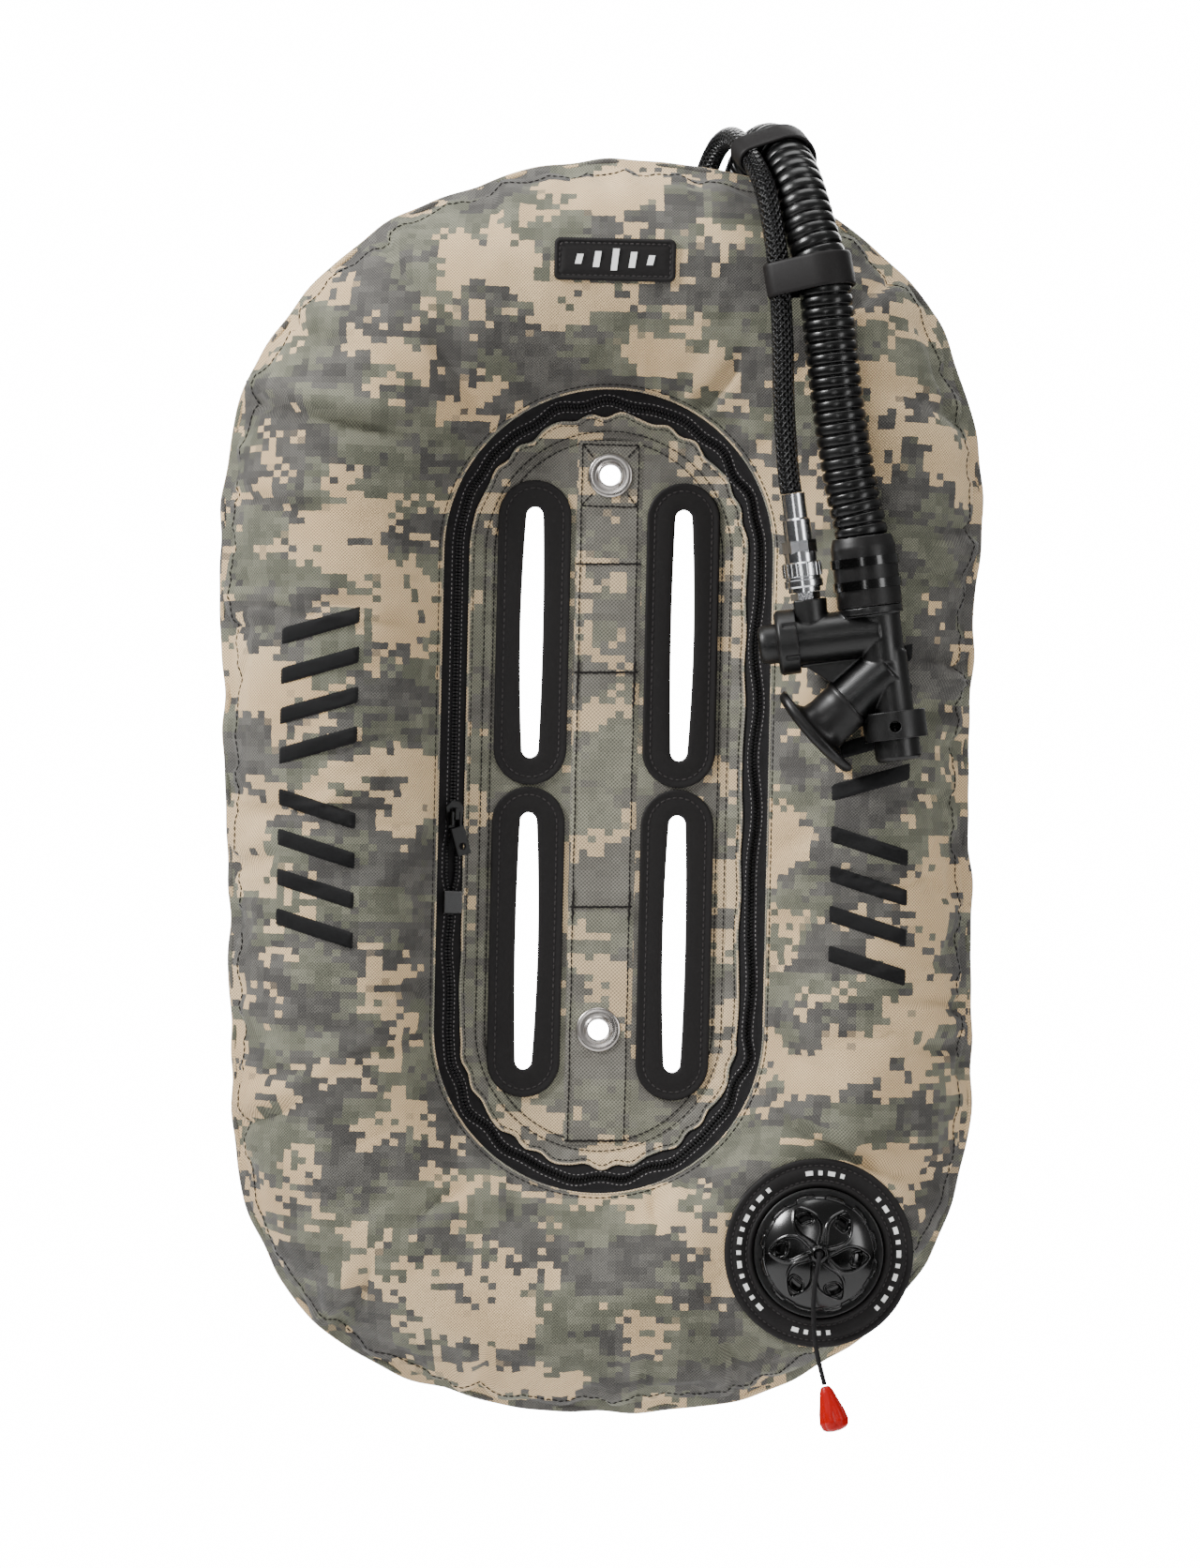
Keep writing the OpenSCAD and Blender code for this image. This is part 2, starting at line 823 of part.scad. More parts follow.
module inflator_outside() {
    translate([0, 0, tube_end])
        cylinder(r = main_r, h = 36);
    translate([-2, 0, 12])
        cylinder(r = main_r + 1, h = 26);
    translate([barb_x, 0, 36.5])
        cylinder(r = 16.3, h = 3.8);
    translate([barb_x, 0, 40])
        cylinder(r = 11.5, h = 20);
    for (z = [44, 50, 56])
        translate([barb_x, 0, z])
            cylinder(r1 = 12.2, r2 = 11.5, h = 3);
    on_cross(-46)
        cylinder(r = cross_r, h = 44);
    translate([boss_x, 0, cross_z])
        cylinder(r1 = 9.4, r2 = 10.4, h = 20);
    on_branch()
        cylinder(r = cross_r, h = 33);
    translate([0, 2, 0])
        rotate([90, 0, 0])
            linear_extrude(height = 4)
                polygon([[-42.8, 14], [-40, 14], [-27, 3], [-8, 3], [-8, 24], [-42.8, 24]]);
}

module inflator_body() {
    color(black_plastic)
        on_inflator()
            difference() {
                inflator_outside();
                translate([0, 0, shelf_z[1]])
                    cylinder(r = bore_r, h = 49);
                translate([0, 0, tube_end - 1])
                    cylinder(r = bore_r, h = shelf_z[0] - tube_end + 1);
                translate([0, 0, tube_end - 1])
                    cylinder(r = 5, h = 20);
                translate([barb_x, 0, 34])
                    cylinder(r = bore_r, h = 30);
                on_cross(-54)
                    tube(cross_r + sealed, 22, 0, 11.1);
                on_cross(-47)
                    cylinder(r = 10.5, h = 17);
                on_cross(-31)
                    cylinder(r = 3, h = 26);
                translate([boss_x, 0, cross_z])
                    cylinder(r = 4.2, h = 21);
                on_branch()
                    translate([0, 0, 4])
                        cylinder(r = 9, h = 30);
            }
}

module inflate_cap_ring() {
    color(black_plastic)
        on_inflator()
            difference() {
                on_cross(-53.5)
                    rotate_extrude()
                        polygon([[10, 0], [14.8, 0], [16.3, 1.5], [16.3, 10.5], [12.4, 10.5], [12.4, 7.4], [10, 7.4]]);
                for (k = [0:5])
                    on_cross(-54)
                        rotate([0, 0, 60 * k])
                            translate([17, 0, 4])
                                cylinder(r = 1.6, h = 8);
            }
}

module inflate_button() {
    color(black_plastic)
        on_inflator()
            on_cross(-62.7)
                rotate_extrude()
                    polygon([[0, 1], [4, 0.6], [6.2, 0], [8.6, 0.8], [9.6, 2.4], [9.9, 4], [9.9, 16.8], [10.4, 16.8],
                        [10.4, 19.6], [2, 19.6], [2, 28.6], [0, 28.6]]);
}

module inflate_spring() {
    color(bright_metal)
        on_inflator()
            on_cross(-43)
                spring(6, 1, 12.8, 5);
}

module feed_nipple() {
    color(bright_metal)
        on_inflator()
            translate([boss_x, 0, 0])
                difference() {
                    union() {
                        translate([0, 0, 40])
                            cylinder(r = 4.1, h = 9);
                        translate([0, 0, 47.8])
                            cylinder(r = 7.4, h = 3.4, $fn = 6);
                        translate([0, 0, 51])
                            cylinder(r = 4.6, h = 12);
                    }
                    translate([0, 0, 39])
                        cylinder(r = 2, h = 26);
                }
}

coupling_base = 51.6;
sleeve_r = 10;

module feed_coupling() {
    color(bright_metal)
        on_inflator()
            translate([boss_x, 0, 0])
                difference() {
                    union() {
                        translate([0, 0, coupling_base])
                            cylinder(r = 8, h = 20);
                        translate([0, 0, 71])
                            cylinder(r = 8.6, h = 6.4, $fn = 6);
                        translate([0, 0, 77.3])
                            cylinder(r = 7, h = 10.4);
                        translate([0, 0, 87.6])
                            cylinder(r1 = 7, r2 = 5.9, h = 1.2);
                        translate([0, 0, 88.7])
                            cylinder(r = 5.9, h = 12.4);
                    }
                    translate([0, 0, coupling_base - 1])
                        cylinder(r = 4.66, h = 13);
                    translate([0, 0, coupling_base])
                        cylinder(r = 2.5, h = 42);
                }
}

grip_ribs = 24;

module feed_sleeve() {
    color(bright_metal)
        on_inflator()
            translate([boss_x, 0, 0])
                difference() {
                    rotate_extrude()
                        polygon([[8.08, 53.8], [9.2, 53.8], [9.6, 54.6], [9.6, 57.4], [8.9, 58], [8.9, 59],
                            [sleeve_r, 59.6], [sleeve_r, 65.8], [9.2, 66.6], [8.08, 66.6]]);
                    for (k = [0:grip_ribs - 1])
                        rotate([0, 0, 360 * k / grip_ribs])
                            translate([sleeve_r + 0.3, 0, 59])
                                cylinder(r = 0.6, h = 8);
                }
}

// Threaded end of the low-pressure hose, hanging behind the wing.
end_at = feed_route[len(feed_route) - 1];
thread_r = 4.76;

module feed_end_fitting() {
    color(bright_metal)
        translate([end_at[0], end_at[1], end_at[2] - 0.02])
            difference() {
                union() {
                    translate([0, 0, -12])
                        cylinder(r = 6.4, h = 12);
                    translate([0, 0, -22])
                        cylinder(r = 8.6, h = 10.05, $fn = 6);
                    translate([0, 0, -24.5])
                        cylinder(r = 3.9, h = 3);
                    translate([0, 0, -33])
                        cylinder(r = thread_r, h = 8.6);
                }
                translate([0, 0, -34])
                    cylinder(r = 2.2, h = 36);
            }
}

module feed_end_oring() {
    color(black_rubber)
        translate([end_at[0], end_at[1], end_at[2] - 23.2])
            rotate_extrude()
                translate([4.95, 0])
                    circle(r = 0.9, $fn = 16);
}

mouth_l = 52;
mouth_w = 34;
neck_r = 13.6;

module mouthpiece() {
    color(black_rubber)
        on_inflator()
            on_branch()
                difference() {
                    union() {
                        translate([0, 0, 26])
                            cylinder(r = neck_r, h = 3);
                        translate([0, 0, 28.9])
                            cylinder(r = 13.1, h = 20);
                        mouth_plate(mouth_l, mouth_w, 47, 7);
                    }
                    translate([0, 0, 25])
                        cylinder(r = cross_r + sealed, h = 8.1);
                    translate([0, 0, 32])
                        cylinder(r = 9, h = 16);
                    mouth_plate(28, 13, 44, 12);
                }
}

module mouth_plate(l, w, low, h) {
    translate([0, 0, low])
        linear_extrude(height = h)
            union() {
                for (side = [-1, 1])
                    translate([side * (l - w) / 2, 0])
                        circle(r = w / 2);
                square([l - w, w], center = true);
            }
}

collar_low = -27;
collar_high = -13;

module oral_collar() {
    color(black_plastic)
        on_inflator()
            difference() {
                translate([0, 0, collar_low])
                    cylinder(r = 16, h = collar_high - collar_low);
                on_branch()
                    cylinder(r = neck_r + 0.1, h = 60);
                translate([0, 0, tube_end])
                    cylinder(r = main_r + sealed, h = 20);
                translate([0, 0, collar_low - 1])
                    cylinder(r = 11.6, h = tube_end - collar_low + 1);
                translate([0, 0, -20.6])
                    rotate([90, 0, 0])
                        translate([0, 0, 11])
                            cylinder(r = 2.8, h = 10);
            }
}

module oral_button() {
    color(black_plastic)
        on_inflator()
            rotate_extrude()
                polygon([[0, -37.2], [6, -37.2], [8, -38], [10.4, -37.6], [11.5, -36], [11.5, -23.3], [3, -23.3],
                    [3, -10.8], [1.5, -10.8], [1.5, -7.6], [0, -7.6]]);
}

module oral_seal() {
    color(black_rubber)
        on_inflator()
            tube(1.55, 7.4, -10.7, -8.4);
}

module oral_spring() {
    color(bright_metal)
        on_inflator()
            translate([0, 0, -23.2])
                spring(5.6, 1, 10.4, 4);
}

cuff_r = 16.3;

// A rubber cuff from the low end of a barb to the hose above it.
module cuff() {
    rotate_extrude()
        polygon([[12.3, 0], [cuff_r, 0], [cuff_r, 30], [cuff_r - 0.8, 33], [cuff_r - 1.6, 35.5], [13.9, 35.5],
            [13.9, 20], [12.3, 20]]);
}

module cable_ties(low) {
    for (z = low)
        tube(cuff_r + sealed, cuff_r + 1, z - 2.2, z + 2.2);
}

module hose_cuff_lower() {
    color(black_rubber)
        on_inflator()
            translate([barb_x, 0, 40.4])
                cuff();
}

module cable_ties_lower() {
    color(black_plastic)
        on_inflator()
            translate([barb_x, 0, 0])
                cable_ties([51.5, 63]);
}

// Elbow on the back of the wing, with its outlet pointing up.
elbow_y = 60;
back_face = back_depth + skin_t;
barb_low = 19;
barb_high = 41;

module on_elbow() {
    translate([elbow_at[0], 0, elbow_at[1]])
        children();
}

module along_y(low) {
    translate([0, low, 0])
        rotate([-90, 0, 0])
            children();
}

module elbow() {
    color(black_plastic)
        on_elbow()
            difference() {
                union() {
                    along_y(30)
                        cylinder(r = 12, h = elbow_y - 30);
                    along_y(back_face + 0.9)
                        cylinder(r = 21, h = 2.6);
                    translate([0, elbow_y, 0]) {
                        sphere(r = 12);
                        cylinder(r = 12, h = barb_low);
                        translate([0, 0, barb_low - 1])
                            cylinder(r = 11.5, h = barb_high - barb_low + 1);
                    }
                }
                along_y(29)
                    cylinder(r = 8.5, h = elbow_y - 29);
                translate([0, elbow_y, -1])
                    cylinder(r = 8.5, h = barb_high + 3);
            }
}

module elbow_gasket() {
    color(black_rubber)
        on_elbow()
            along_y(0)
                tube(12.1, 19, back_face + 0.1, back_face + 0.8);
}

nut_lugs = 8;

module elbow_nut() {
    color(black_plastic)
        on_elbow()
            along_y(0)
                difference() {
                    tube(12.1, 18.6, back_face + 3.6, back_face + 8.4);
                    for (k = [0:nut_lugs - 1])
                        rotate([0, 0, 360 * k / nut_lugs])
                            translate([19.6, 0, 40])
                                cylinder(r = 2.4, h = 12);
                }
}

module hose_cuff_upper() {
    color(black_rubber)
        on_elbow()
            translate([0, elbow_y, barb_low + 2.2])
                cuff();
}

module cable_ties_upper() {
    color(black_plastic)
        on_elbow()
            translate([0, elbow_y, barb_low + 2.2])
                cable_ties([10, 21]);
}

bladder();
shell_front();
shell_back();
perimeter_seam();
centre_panel();
centre_webbing();
slot_frame_upper_left();
slot_frame_upper_right();
slot_frame_lower_left();
slot_frame_lower_right();
slot_frames_back();
grommet_top();
grommet_top_washer();
grommet_bottom();
grommet_bottom_washer();
zip_facing();
zip_tape_outer();
zip_tape_inner();
zip_teeth_outer();
zip_teeth_inner();
zip_box();
zip_slider();
zip_pull();
top_patch();
embroidery_left();
embroidery_right();
valve_patch_ring();
valve_base();
valve_gasket();
valve_disc();
valve_spring();
valve_cap();
pull_cord();
pull_knob();
inflator_body();
inflate_cap_ring();
inflate_button();
inflate_spring();
feed_nipple();
feed_coupling();
feed_sleeve();
feed_hose();
feed_end_fitting();
feed_end_oring();
mouthpiece();
oral_collar();
oral_button();
oral_seal();
oral_spring();
corrugated_hose();
hose_cuff_lower();
cable_ties_lower();
elbow();
elbow_nut();
elbow_gasket();
hose_cuff_upper();
cable_ties_upper();
hose_band_upper();
hose_band_lower();
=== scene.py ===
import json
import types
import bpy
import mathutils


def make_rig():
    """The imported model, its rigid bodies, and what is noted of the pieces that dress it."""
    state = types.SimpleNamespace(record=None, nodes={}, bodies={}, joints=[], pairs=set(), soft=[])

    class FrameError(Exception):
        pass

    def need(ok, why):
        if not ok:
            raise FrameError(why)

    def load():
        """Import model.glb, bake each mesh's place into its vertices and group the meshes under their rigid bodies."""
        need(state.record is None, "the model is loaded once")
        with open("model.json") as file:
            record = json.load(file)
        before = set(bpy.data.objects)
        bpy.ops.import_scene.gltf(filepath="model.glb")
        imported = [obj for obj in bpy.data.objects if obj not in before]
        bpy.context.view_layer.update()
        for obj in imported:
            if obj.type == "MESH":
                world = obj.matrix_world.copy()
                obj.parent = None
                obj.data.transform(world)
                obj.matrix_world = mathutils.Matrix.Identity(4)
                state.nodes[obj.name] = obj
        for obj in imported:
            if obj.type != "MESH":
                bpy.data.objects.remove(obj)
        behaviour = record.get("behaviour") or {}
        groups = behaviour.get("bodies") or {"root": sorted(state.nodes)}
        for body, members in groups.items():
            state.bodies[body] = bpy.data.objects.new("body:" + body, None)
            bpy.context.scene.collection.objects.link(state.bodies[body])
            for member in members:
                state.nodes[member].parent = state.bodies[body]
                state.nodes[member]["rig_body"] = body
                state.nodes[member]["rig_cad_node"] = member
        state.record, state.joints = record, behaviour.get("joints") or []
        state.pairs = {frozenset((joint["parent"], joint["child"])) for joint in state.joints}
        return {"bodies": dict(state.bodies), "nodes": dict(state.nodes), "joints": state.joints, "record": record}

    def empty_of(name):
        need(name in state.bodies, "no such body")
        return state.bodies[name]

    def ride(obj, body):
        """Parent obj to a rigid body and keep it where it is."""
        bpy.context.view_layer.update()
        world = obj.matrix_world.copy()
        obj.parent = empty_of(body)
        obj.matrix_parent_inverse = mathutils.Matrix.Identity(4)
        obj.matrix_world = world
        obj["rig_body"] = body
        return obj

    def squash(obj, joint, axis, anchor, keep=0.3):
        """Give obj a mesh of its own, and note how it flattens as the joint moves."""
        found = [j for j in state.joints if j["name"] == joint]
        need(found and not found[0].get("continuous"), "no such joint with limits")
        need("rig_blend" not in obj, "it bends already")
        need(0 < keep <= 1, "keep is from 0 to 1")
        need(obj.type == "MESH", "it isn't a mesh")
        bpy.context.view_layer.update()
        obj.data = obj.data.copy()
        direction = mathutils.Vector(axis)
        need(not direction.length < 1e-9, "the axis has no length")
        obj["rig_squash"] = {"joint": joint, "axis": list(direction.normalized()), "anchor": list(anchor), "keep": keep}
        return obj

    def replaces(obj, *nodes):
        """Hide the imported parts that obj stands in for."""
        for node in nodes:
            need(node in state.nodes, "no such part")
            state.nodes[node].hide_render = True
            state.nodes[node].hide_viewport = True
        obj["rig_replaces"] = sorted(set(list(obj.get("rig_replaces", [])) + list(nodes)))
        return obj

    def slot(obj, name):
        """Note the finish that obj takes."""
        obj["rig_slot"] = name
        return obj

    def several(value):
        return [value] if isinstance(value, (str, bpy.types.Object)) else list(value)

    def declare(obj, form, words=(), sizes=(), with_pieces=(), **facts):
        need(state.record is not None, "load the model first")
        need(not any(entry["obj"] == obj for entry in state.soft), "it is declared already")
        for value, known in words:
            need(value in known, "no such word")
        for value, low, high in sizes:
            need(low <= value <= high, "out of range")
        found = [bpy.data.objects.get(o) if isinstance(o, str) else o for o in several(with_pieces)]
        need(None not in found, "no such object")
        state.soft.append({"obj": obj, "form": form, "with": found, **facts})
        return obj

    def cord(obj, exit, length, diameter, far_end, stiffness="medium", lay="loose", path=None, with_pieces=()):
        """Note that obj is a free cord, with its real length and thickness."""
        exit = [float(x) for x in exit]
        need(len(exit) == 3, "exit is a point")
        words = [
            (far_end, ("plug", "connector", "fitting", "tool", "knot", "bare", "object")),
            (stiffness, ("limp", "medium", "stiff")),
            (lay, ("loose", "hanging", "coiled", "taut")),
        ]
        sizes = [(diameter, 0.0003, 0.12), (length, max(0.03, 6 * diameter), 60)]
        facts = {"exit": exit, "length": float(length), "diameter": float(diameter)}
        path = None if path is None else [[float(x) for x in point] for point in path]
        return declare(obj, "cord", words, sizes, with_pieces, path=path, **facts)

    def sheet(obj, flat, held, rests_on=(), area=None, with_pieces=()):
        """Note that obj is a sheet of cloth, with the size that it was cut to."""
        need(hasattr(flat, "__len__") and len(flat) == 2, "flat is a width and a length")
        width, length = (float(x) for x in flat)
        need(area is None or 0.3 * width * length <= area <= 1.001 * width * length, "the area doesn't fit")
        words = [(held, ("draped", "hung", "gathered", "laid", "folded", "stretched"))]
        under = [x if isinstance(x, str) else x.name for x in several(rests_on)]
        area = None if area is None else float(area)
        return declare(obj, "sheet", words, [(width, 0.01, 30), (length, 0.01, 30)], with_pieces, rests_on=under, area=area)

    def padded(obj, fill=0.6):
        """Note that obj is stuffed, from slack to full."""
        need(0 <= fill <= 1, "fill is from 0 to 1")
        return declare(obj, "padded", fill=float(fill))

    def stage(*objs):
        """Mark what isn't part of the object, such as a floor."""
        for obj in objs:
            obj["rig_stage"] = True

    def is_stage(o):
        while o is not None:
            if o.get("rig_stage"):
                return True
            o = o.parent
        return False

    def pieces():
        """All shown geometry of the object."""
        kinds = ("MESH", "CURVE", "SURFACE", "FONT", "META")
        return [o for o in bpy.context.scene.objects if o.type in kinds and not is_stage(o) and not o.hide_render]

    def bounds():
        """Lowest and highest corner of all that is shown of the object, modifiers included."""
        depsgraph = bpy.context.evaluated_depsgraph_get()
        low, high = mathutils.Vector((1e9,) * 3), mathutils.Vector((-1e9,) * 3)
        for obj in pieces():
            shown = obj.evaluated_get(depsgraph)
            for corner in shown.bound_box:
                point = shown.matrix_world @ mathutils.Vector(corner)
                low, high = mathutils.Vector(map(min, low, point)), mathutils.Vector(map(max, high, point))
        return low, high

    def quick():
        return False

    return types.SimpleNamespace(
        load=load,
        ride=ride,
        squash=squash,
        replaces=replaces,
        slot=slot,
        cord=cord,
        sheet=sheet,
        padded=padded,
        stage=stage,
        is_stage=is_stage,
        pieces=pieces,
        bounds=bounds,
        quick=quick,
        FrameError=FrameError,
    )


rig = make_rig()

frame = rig.load()

import json
import math

import bmesh
import bpy
import numpy as np
from mathutils import Vector
from mathutils.bvhtree import BVHTree

CAD_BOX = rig.bounds()
MM = 0.001
TAU = 2 * math.pi

# ---------------------------------------------------------------- camera
# Square to the zipped side, rolled by the small lean at which the wing is seen.
VIEW_DISTANCE = 7.0
VIEW_HEIGHT = 0.7903
VIEW_CENTRE = (-0.0018, -0.0159)
ROLL = math.radians(1.26)
SENSOR = 36.0
FAR_CLIP = 50.0


def make_camera():
    data = bpy.data.cameras.new("camera")
    data.sensor_fit = "VERTICAL"
    data.sensor_height = SENSOR
    data.lens = SENSOR * VIEW_DISTANCE / VIEW_HEIGHT
    data.clip_end = FAR_CLIP
    camera = bpy.data.objects.new("camera", data)
    bpy.context.scene.collection.objects.link(camera)
    camera.location = (VIEW_CENTRE[0], -VIEW_DISTANCE, VIEW_CENTRE[1])
    camera.rotation_euler = (math.pi / 2, -ROLL, 0)
    bpy.context.scene.camera = camera


make_camera()


# ---------------------------------------------------------------- material helpers
class Nodes:
    """A short way to build a node tree: every call adds one node and returns its output."""

    def __init__(self, name):
        self.material = bpy.data.materials.new(name)
        self.material.use_nodes = True
        self.tree = self.material.node_tree
        self.shader = self.tree.nodes["Principled BSDF"]

    def _feed(self, socket, value):
        if isinstance(value, bpy.types.NodeSocket):
            self.tree.links.new(value, socket)
        elif value is not None:
            socket.default_value = value

    def set(self, **values):
        for key, value in values.items():
            name = key.replace("_", " ").title().replace("Ior", "IOR")
            self._feed(self.shader.inputs[name], value)
        return self

    def attribute(self, name):
        node = self.tree.nodes.new("ShaderNodeAttribute")
        node.attribute_name = name
        return node.outputs["Vector"]

    def place(self):
        return self.tree.nodes.new("ShaderNodeTexCoord").outputs["Object"]

    def vector(self, op, a, b=None, scale=None):
        node = self.tree.nodes.new("ShaderNodeVectorMath")
        node.operation = op
        self._feed(node.inputs[0], a)
        if b is not None:
            self._feed(node.inputs[1], b)
        if scale is not None:
            self._feed(node.inputs["Scale"], scale)
        return node.outputs["Vector"]

    def split(self, vector):
        node = self.tree.nodes.new("ShaderNodeSeparateXYZ")
        self._feed(node.inputs[0], vector)
        return node.outputs

    def join(self, x, y, z):
        node = self.tree.nodes.new("ShaderNodeCombineXYZ")
        for socket, value in zip(node.inputs, (x, y, z)):
            self._feed(socket, value)
        return node.outputs[0]

    def math(self, op, a, b=None):
        node = self.tree.nodes.new("ShaderNodeMath")
        node.operation = op
        self._feed(node.inputs[0], a)
        if b is not None:
            self._feed(node.inputs[1], b)
        return node.outputs[0]

    def wave(self, value, pitch):
        """A sine that repeats at each pitch."""
        return self.math("SINE", self.math("MULTIPLY", value, TAU / pitch))

    def dimmed(self, colour, share):
        """The colour times a share."""
        return self.mix(1.0, colour, self.join(share, share, share), "MULTIPLY")

    def noise(self, vector, scale, detail=2.0, rough=0.5, colour=False):
        node = self.tree.nodes.new("ShaderNodeTexNoise")
        self._feed(node.inputs["Vector"], vector)
        node.inputs["Scale"].default_value = scale
        node.inputs["Detail"].default_value = detail
        node.inputs["Roughness"].default_value = rough
        return node.outputs["Color" if colour else "Fac"]

    def span(self, value, low, high, to_low=0.0, to_high=1.0):
        node = self.tree.nodes.new("ShaderNodeMapRange")
        for key, number in zip(("Value", "From Min", "From Max", "To Min", "To Max"),
                               (value, low, high, to_low, to_high)):
            self._feed(node.inputs[key], number)
        return node.outputs["Result"]

    def mix(self, share, a, b, blend="MIX"):
        node = self.tree.nodes.new("ShaderNodeMix")
        node.data_type = "RGBA"
        node.blend_type = blend
        self._feed(node.inputs["Factor"], share)
        self._feed(node.inputs[6], a)
        self._feed(node.inputs[7], b)
        return node.outputs[2]

    def bump(self, height, strength, distance, normal=None):
        node = self.tree.nodes.new("ShaderNodeBump")
        node.inputs["Strength"].default_value = strength
        node.inputs["Distance"].default_value = distance
        self._feed(node.inputs["Height"], height)
        if normal is not None:
            self._feed(node.inputs["Normal"], normal)
        return node.outputs[0]


def rgb(r, g, b):
    """A display colour, 0 to 255, as the linear colour that shaders take."""
    def linear(v):
        v /= 255
        return v / 12.92 if v <= 0.04045 else ((v + 0.055) / 1.055) ** 2.4
    return (linear(r), linear(g), linear(b), 1.0)


def scaled(tint, gain, lift=0.0):
    """A lighter or darker tint."""
    return tuple(min(1.0, c * gain + lift) for c in tint[:3]) + (1.0,)


CAMO_CELL = (4.2 * MM, 3.5 * MM)
THREAD = 1.6 * MM
THREAD_BUMP = 0.0002
TAN = rgb(202, 176, 136)
TAN_DEEP = rgb(188, 160, 120)
GREY = rgb(60, 58, 55)
GREY_LIGHT = rgb(84, 82, 77)
GREEN = rgb(82, 83, 69)
GREEN_LIGHT = rgb(107, 107, 91)
# A pale grey-green that the cloth is mixed toward by fade: the paler print of the panel and webbing, and on the zip
# hems partly a painted highlight.
PALE_WASH = rgb(138, 134, 121)


def camo_cells(n, cloth):
    """Cell centres of the printed pattern, in cells, with slightly uneven cell edges."""
    cells = n.vector("MULTIPLY", cloth, (1 / CAMO_CELL[0], 1 / CAMO_CELL[1], 0.0))
    wobble = n.vector("SUBTRACT", n.noise(cells, 2.2, 1.0, 0.5, True), (0.5, 0.5, 0.5))
    cells = n.vector("ADD", cells, n.vector("SCALE", wobble, scale=0.30))
    return n.vector("MULTIPLY", n.vector("ADD", n.vector("FLOOR", cells), (0.5, 0.5, 0.5)), (1.0, 1.0, 0.0))


def cell_chance(n, cell, shift):
    """A random number for each cell, from -0.5 to 0.5."""
    node = n.tree.nodes.new("ShaderNodeTexWhiteNoise")
    n.tree.links.new(n.vector("ADD", cell, (shift, shift, shift)), node.inputs["Vector"])
    return n.math("SUBTRACT", node.outputs["Value"], 0.5)


def weave(n, cloth, pitch):
    """Height of a plain weave: threads pass over and under each other."""
    u, v, _ = n.split(cloth)
    return n.math("MULTIPLY", n.wave(u, pitch), n.wave(v, pitch))


def camo_material(name, pitch=THREAD, dim=1.0, tan_edge=0.534, fade=0.0):
    """Printed cloth: small cells of tan, grey and green on a plain weave, with painted shade and highlight on its
    threads.
    """
    n = Nodes(name)
    cloth = n.attribute("cloth")
    cell = camo_cells(n, cloth)
    wide = n.vector("MULTIPLY", cell, (0.66, 0.92, 1.0))
    tan_noise = n.noise(n.vector("ADD", wide, (3.7, 11.2, 0.5)), 0.088, 4.0, 0.60)
    green_noise = n.noise(n.vector("ADD", wide, (41.0, 7.0, 9.5)), 0.120, 3.0, 0.62)
    speck = n.noise(n.vector("ADD", cell, (5.0, 80.0, 2.0)), 0.43, 1.0, 0.5)
    tone = n.span(n.noise(n.vector("ADD", cell, (17.0, 3.0, 4.0)), 0.30, 2.0, 0.6), 0.40, 0.62)
    base = n.mix(tone, GREY, GREY_LIGHT)
    leaf = n.mix(tone, GREEN, GREEN_LIGHT)
    leaf_edge = n.math("ADD", green_noise, n.math("MULTIPLY", cell_chance(n, cell, 7.3), 0.07))
    colour = n.mix(n.span(leaf_edge, 0.495, 0.515), base, leaf)
    sand = n.mix(n.span(n.noise(cloth, 14.0, 2.0), 0.35, 0.65), TAN, TAN_DEEP)
    edge = n.math("ADD", tan_noise, n.math("MULTIPLY", n.math("SUBTRACT", speck, 0.5), 0.19))
    edge = n.math("ADD", edge, n.math("MULTIPLY", cell_chance(n, cell, 1.7), 0.07))
    colour = n.mix(n.span(edge, tan_edge, tan_edge + 0.004), colour, sand)
    colour = n.mix(fade, colour, PALE_WASH)
    height = weave(n, cloth, pitch)
    # Painted shade and highlight of the weave: the colour is darker where the threads dip and lighter on their crowns;
    # dim scales the whole range.
    colour = n.dimmed(colour, n.span(height, -0.8, 0.8, 0.42 * dim, 1.46 * dim))
    colour = n.dimmed(colour, n.span(n.noise(cloth, 32.0, 3.0, 0.6), 0.3, 0.7, 0.92, 1.06))
    soft = n.bump(n.noise(cloth, 70.0, 3.0, 0.55), 0.25, 0.0012)
    n.set(base_color=colour, roughness=0.82, sheen_weight=0.12, sheen_roughness=0.45,
          normal=n.bump(height, 0.55, 0.00022, soft))
    return n.material


def dark_cloth_material(name, tint, pitch):
    """Woven tape, lining or sewing thread, with paler flecks."""
    n = Nodes(name)
    place = n.place()
    u, v, w = n.split(place)
    height = n.math("MULTIPLY", n.wave(n.math("ADD", u, v), pitch), n.wave(w, pitch))
    fleck = n.span(n.noise(place, 260.0, 3.0, 0.6), 0.35, 0.75)
    n.set(base_color=n.mix(fleck, tint, scaled(tint, 2.1)), roughness=0.8,
          specular_ior_level=0.25, normal=n.bump(height, 0.5, THREAD_BUMP))
    return n.material


def moulded_material(name, tint, rough, grain, grain_scale, coat=0.0, spread=0.10, shine=0.3, dusty=0.35):
    """Moulded rubber or plastic: fine grain, patchy gloss and a little dust in the colour."""
    n = Nodes(name)
    place = n.place()
    patch = n.noise(place, 38.0, 4.0, 0.6)
    dust = n.span(n.noise(place, 420.0, 2.0, 0.6), 0.62, 0.80, 0.0, dusty)
    n.set(base_color=n.mix(dust, tint, scaled(tint, 2.0, 0.004)),
          roughness=n.span(patch, 0.3, 0.7, rough - spread, rough + spread),
          coat_weight=coat, coat_roughness=0.12, specular_ior_level=shine,
          normal=n.bump(n.noise(place, grain_scale, 2.0, 0.6), grain, THREAD_BUMP))
    return n.material


def metal_material(name, tint, rough):
    """Plated metal with faint smudges."""
    n = Nodes(name)
    smudge = n.noise(n.place(), 60.0, 3.0, 0.6)
    n.set(base_color=n.mix(n.span(smudge, 0.35, 0.75), tint, scaled(tint, 0.9)), metallic=1.0,
          roughness=n.span(smudge, 0.3, 0.7, rough, rough + 0.07))
    return n.material


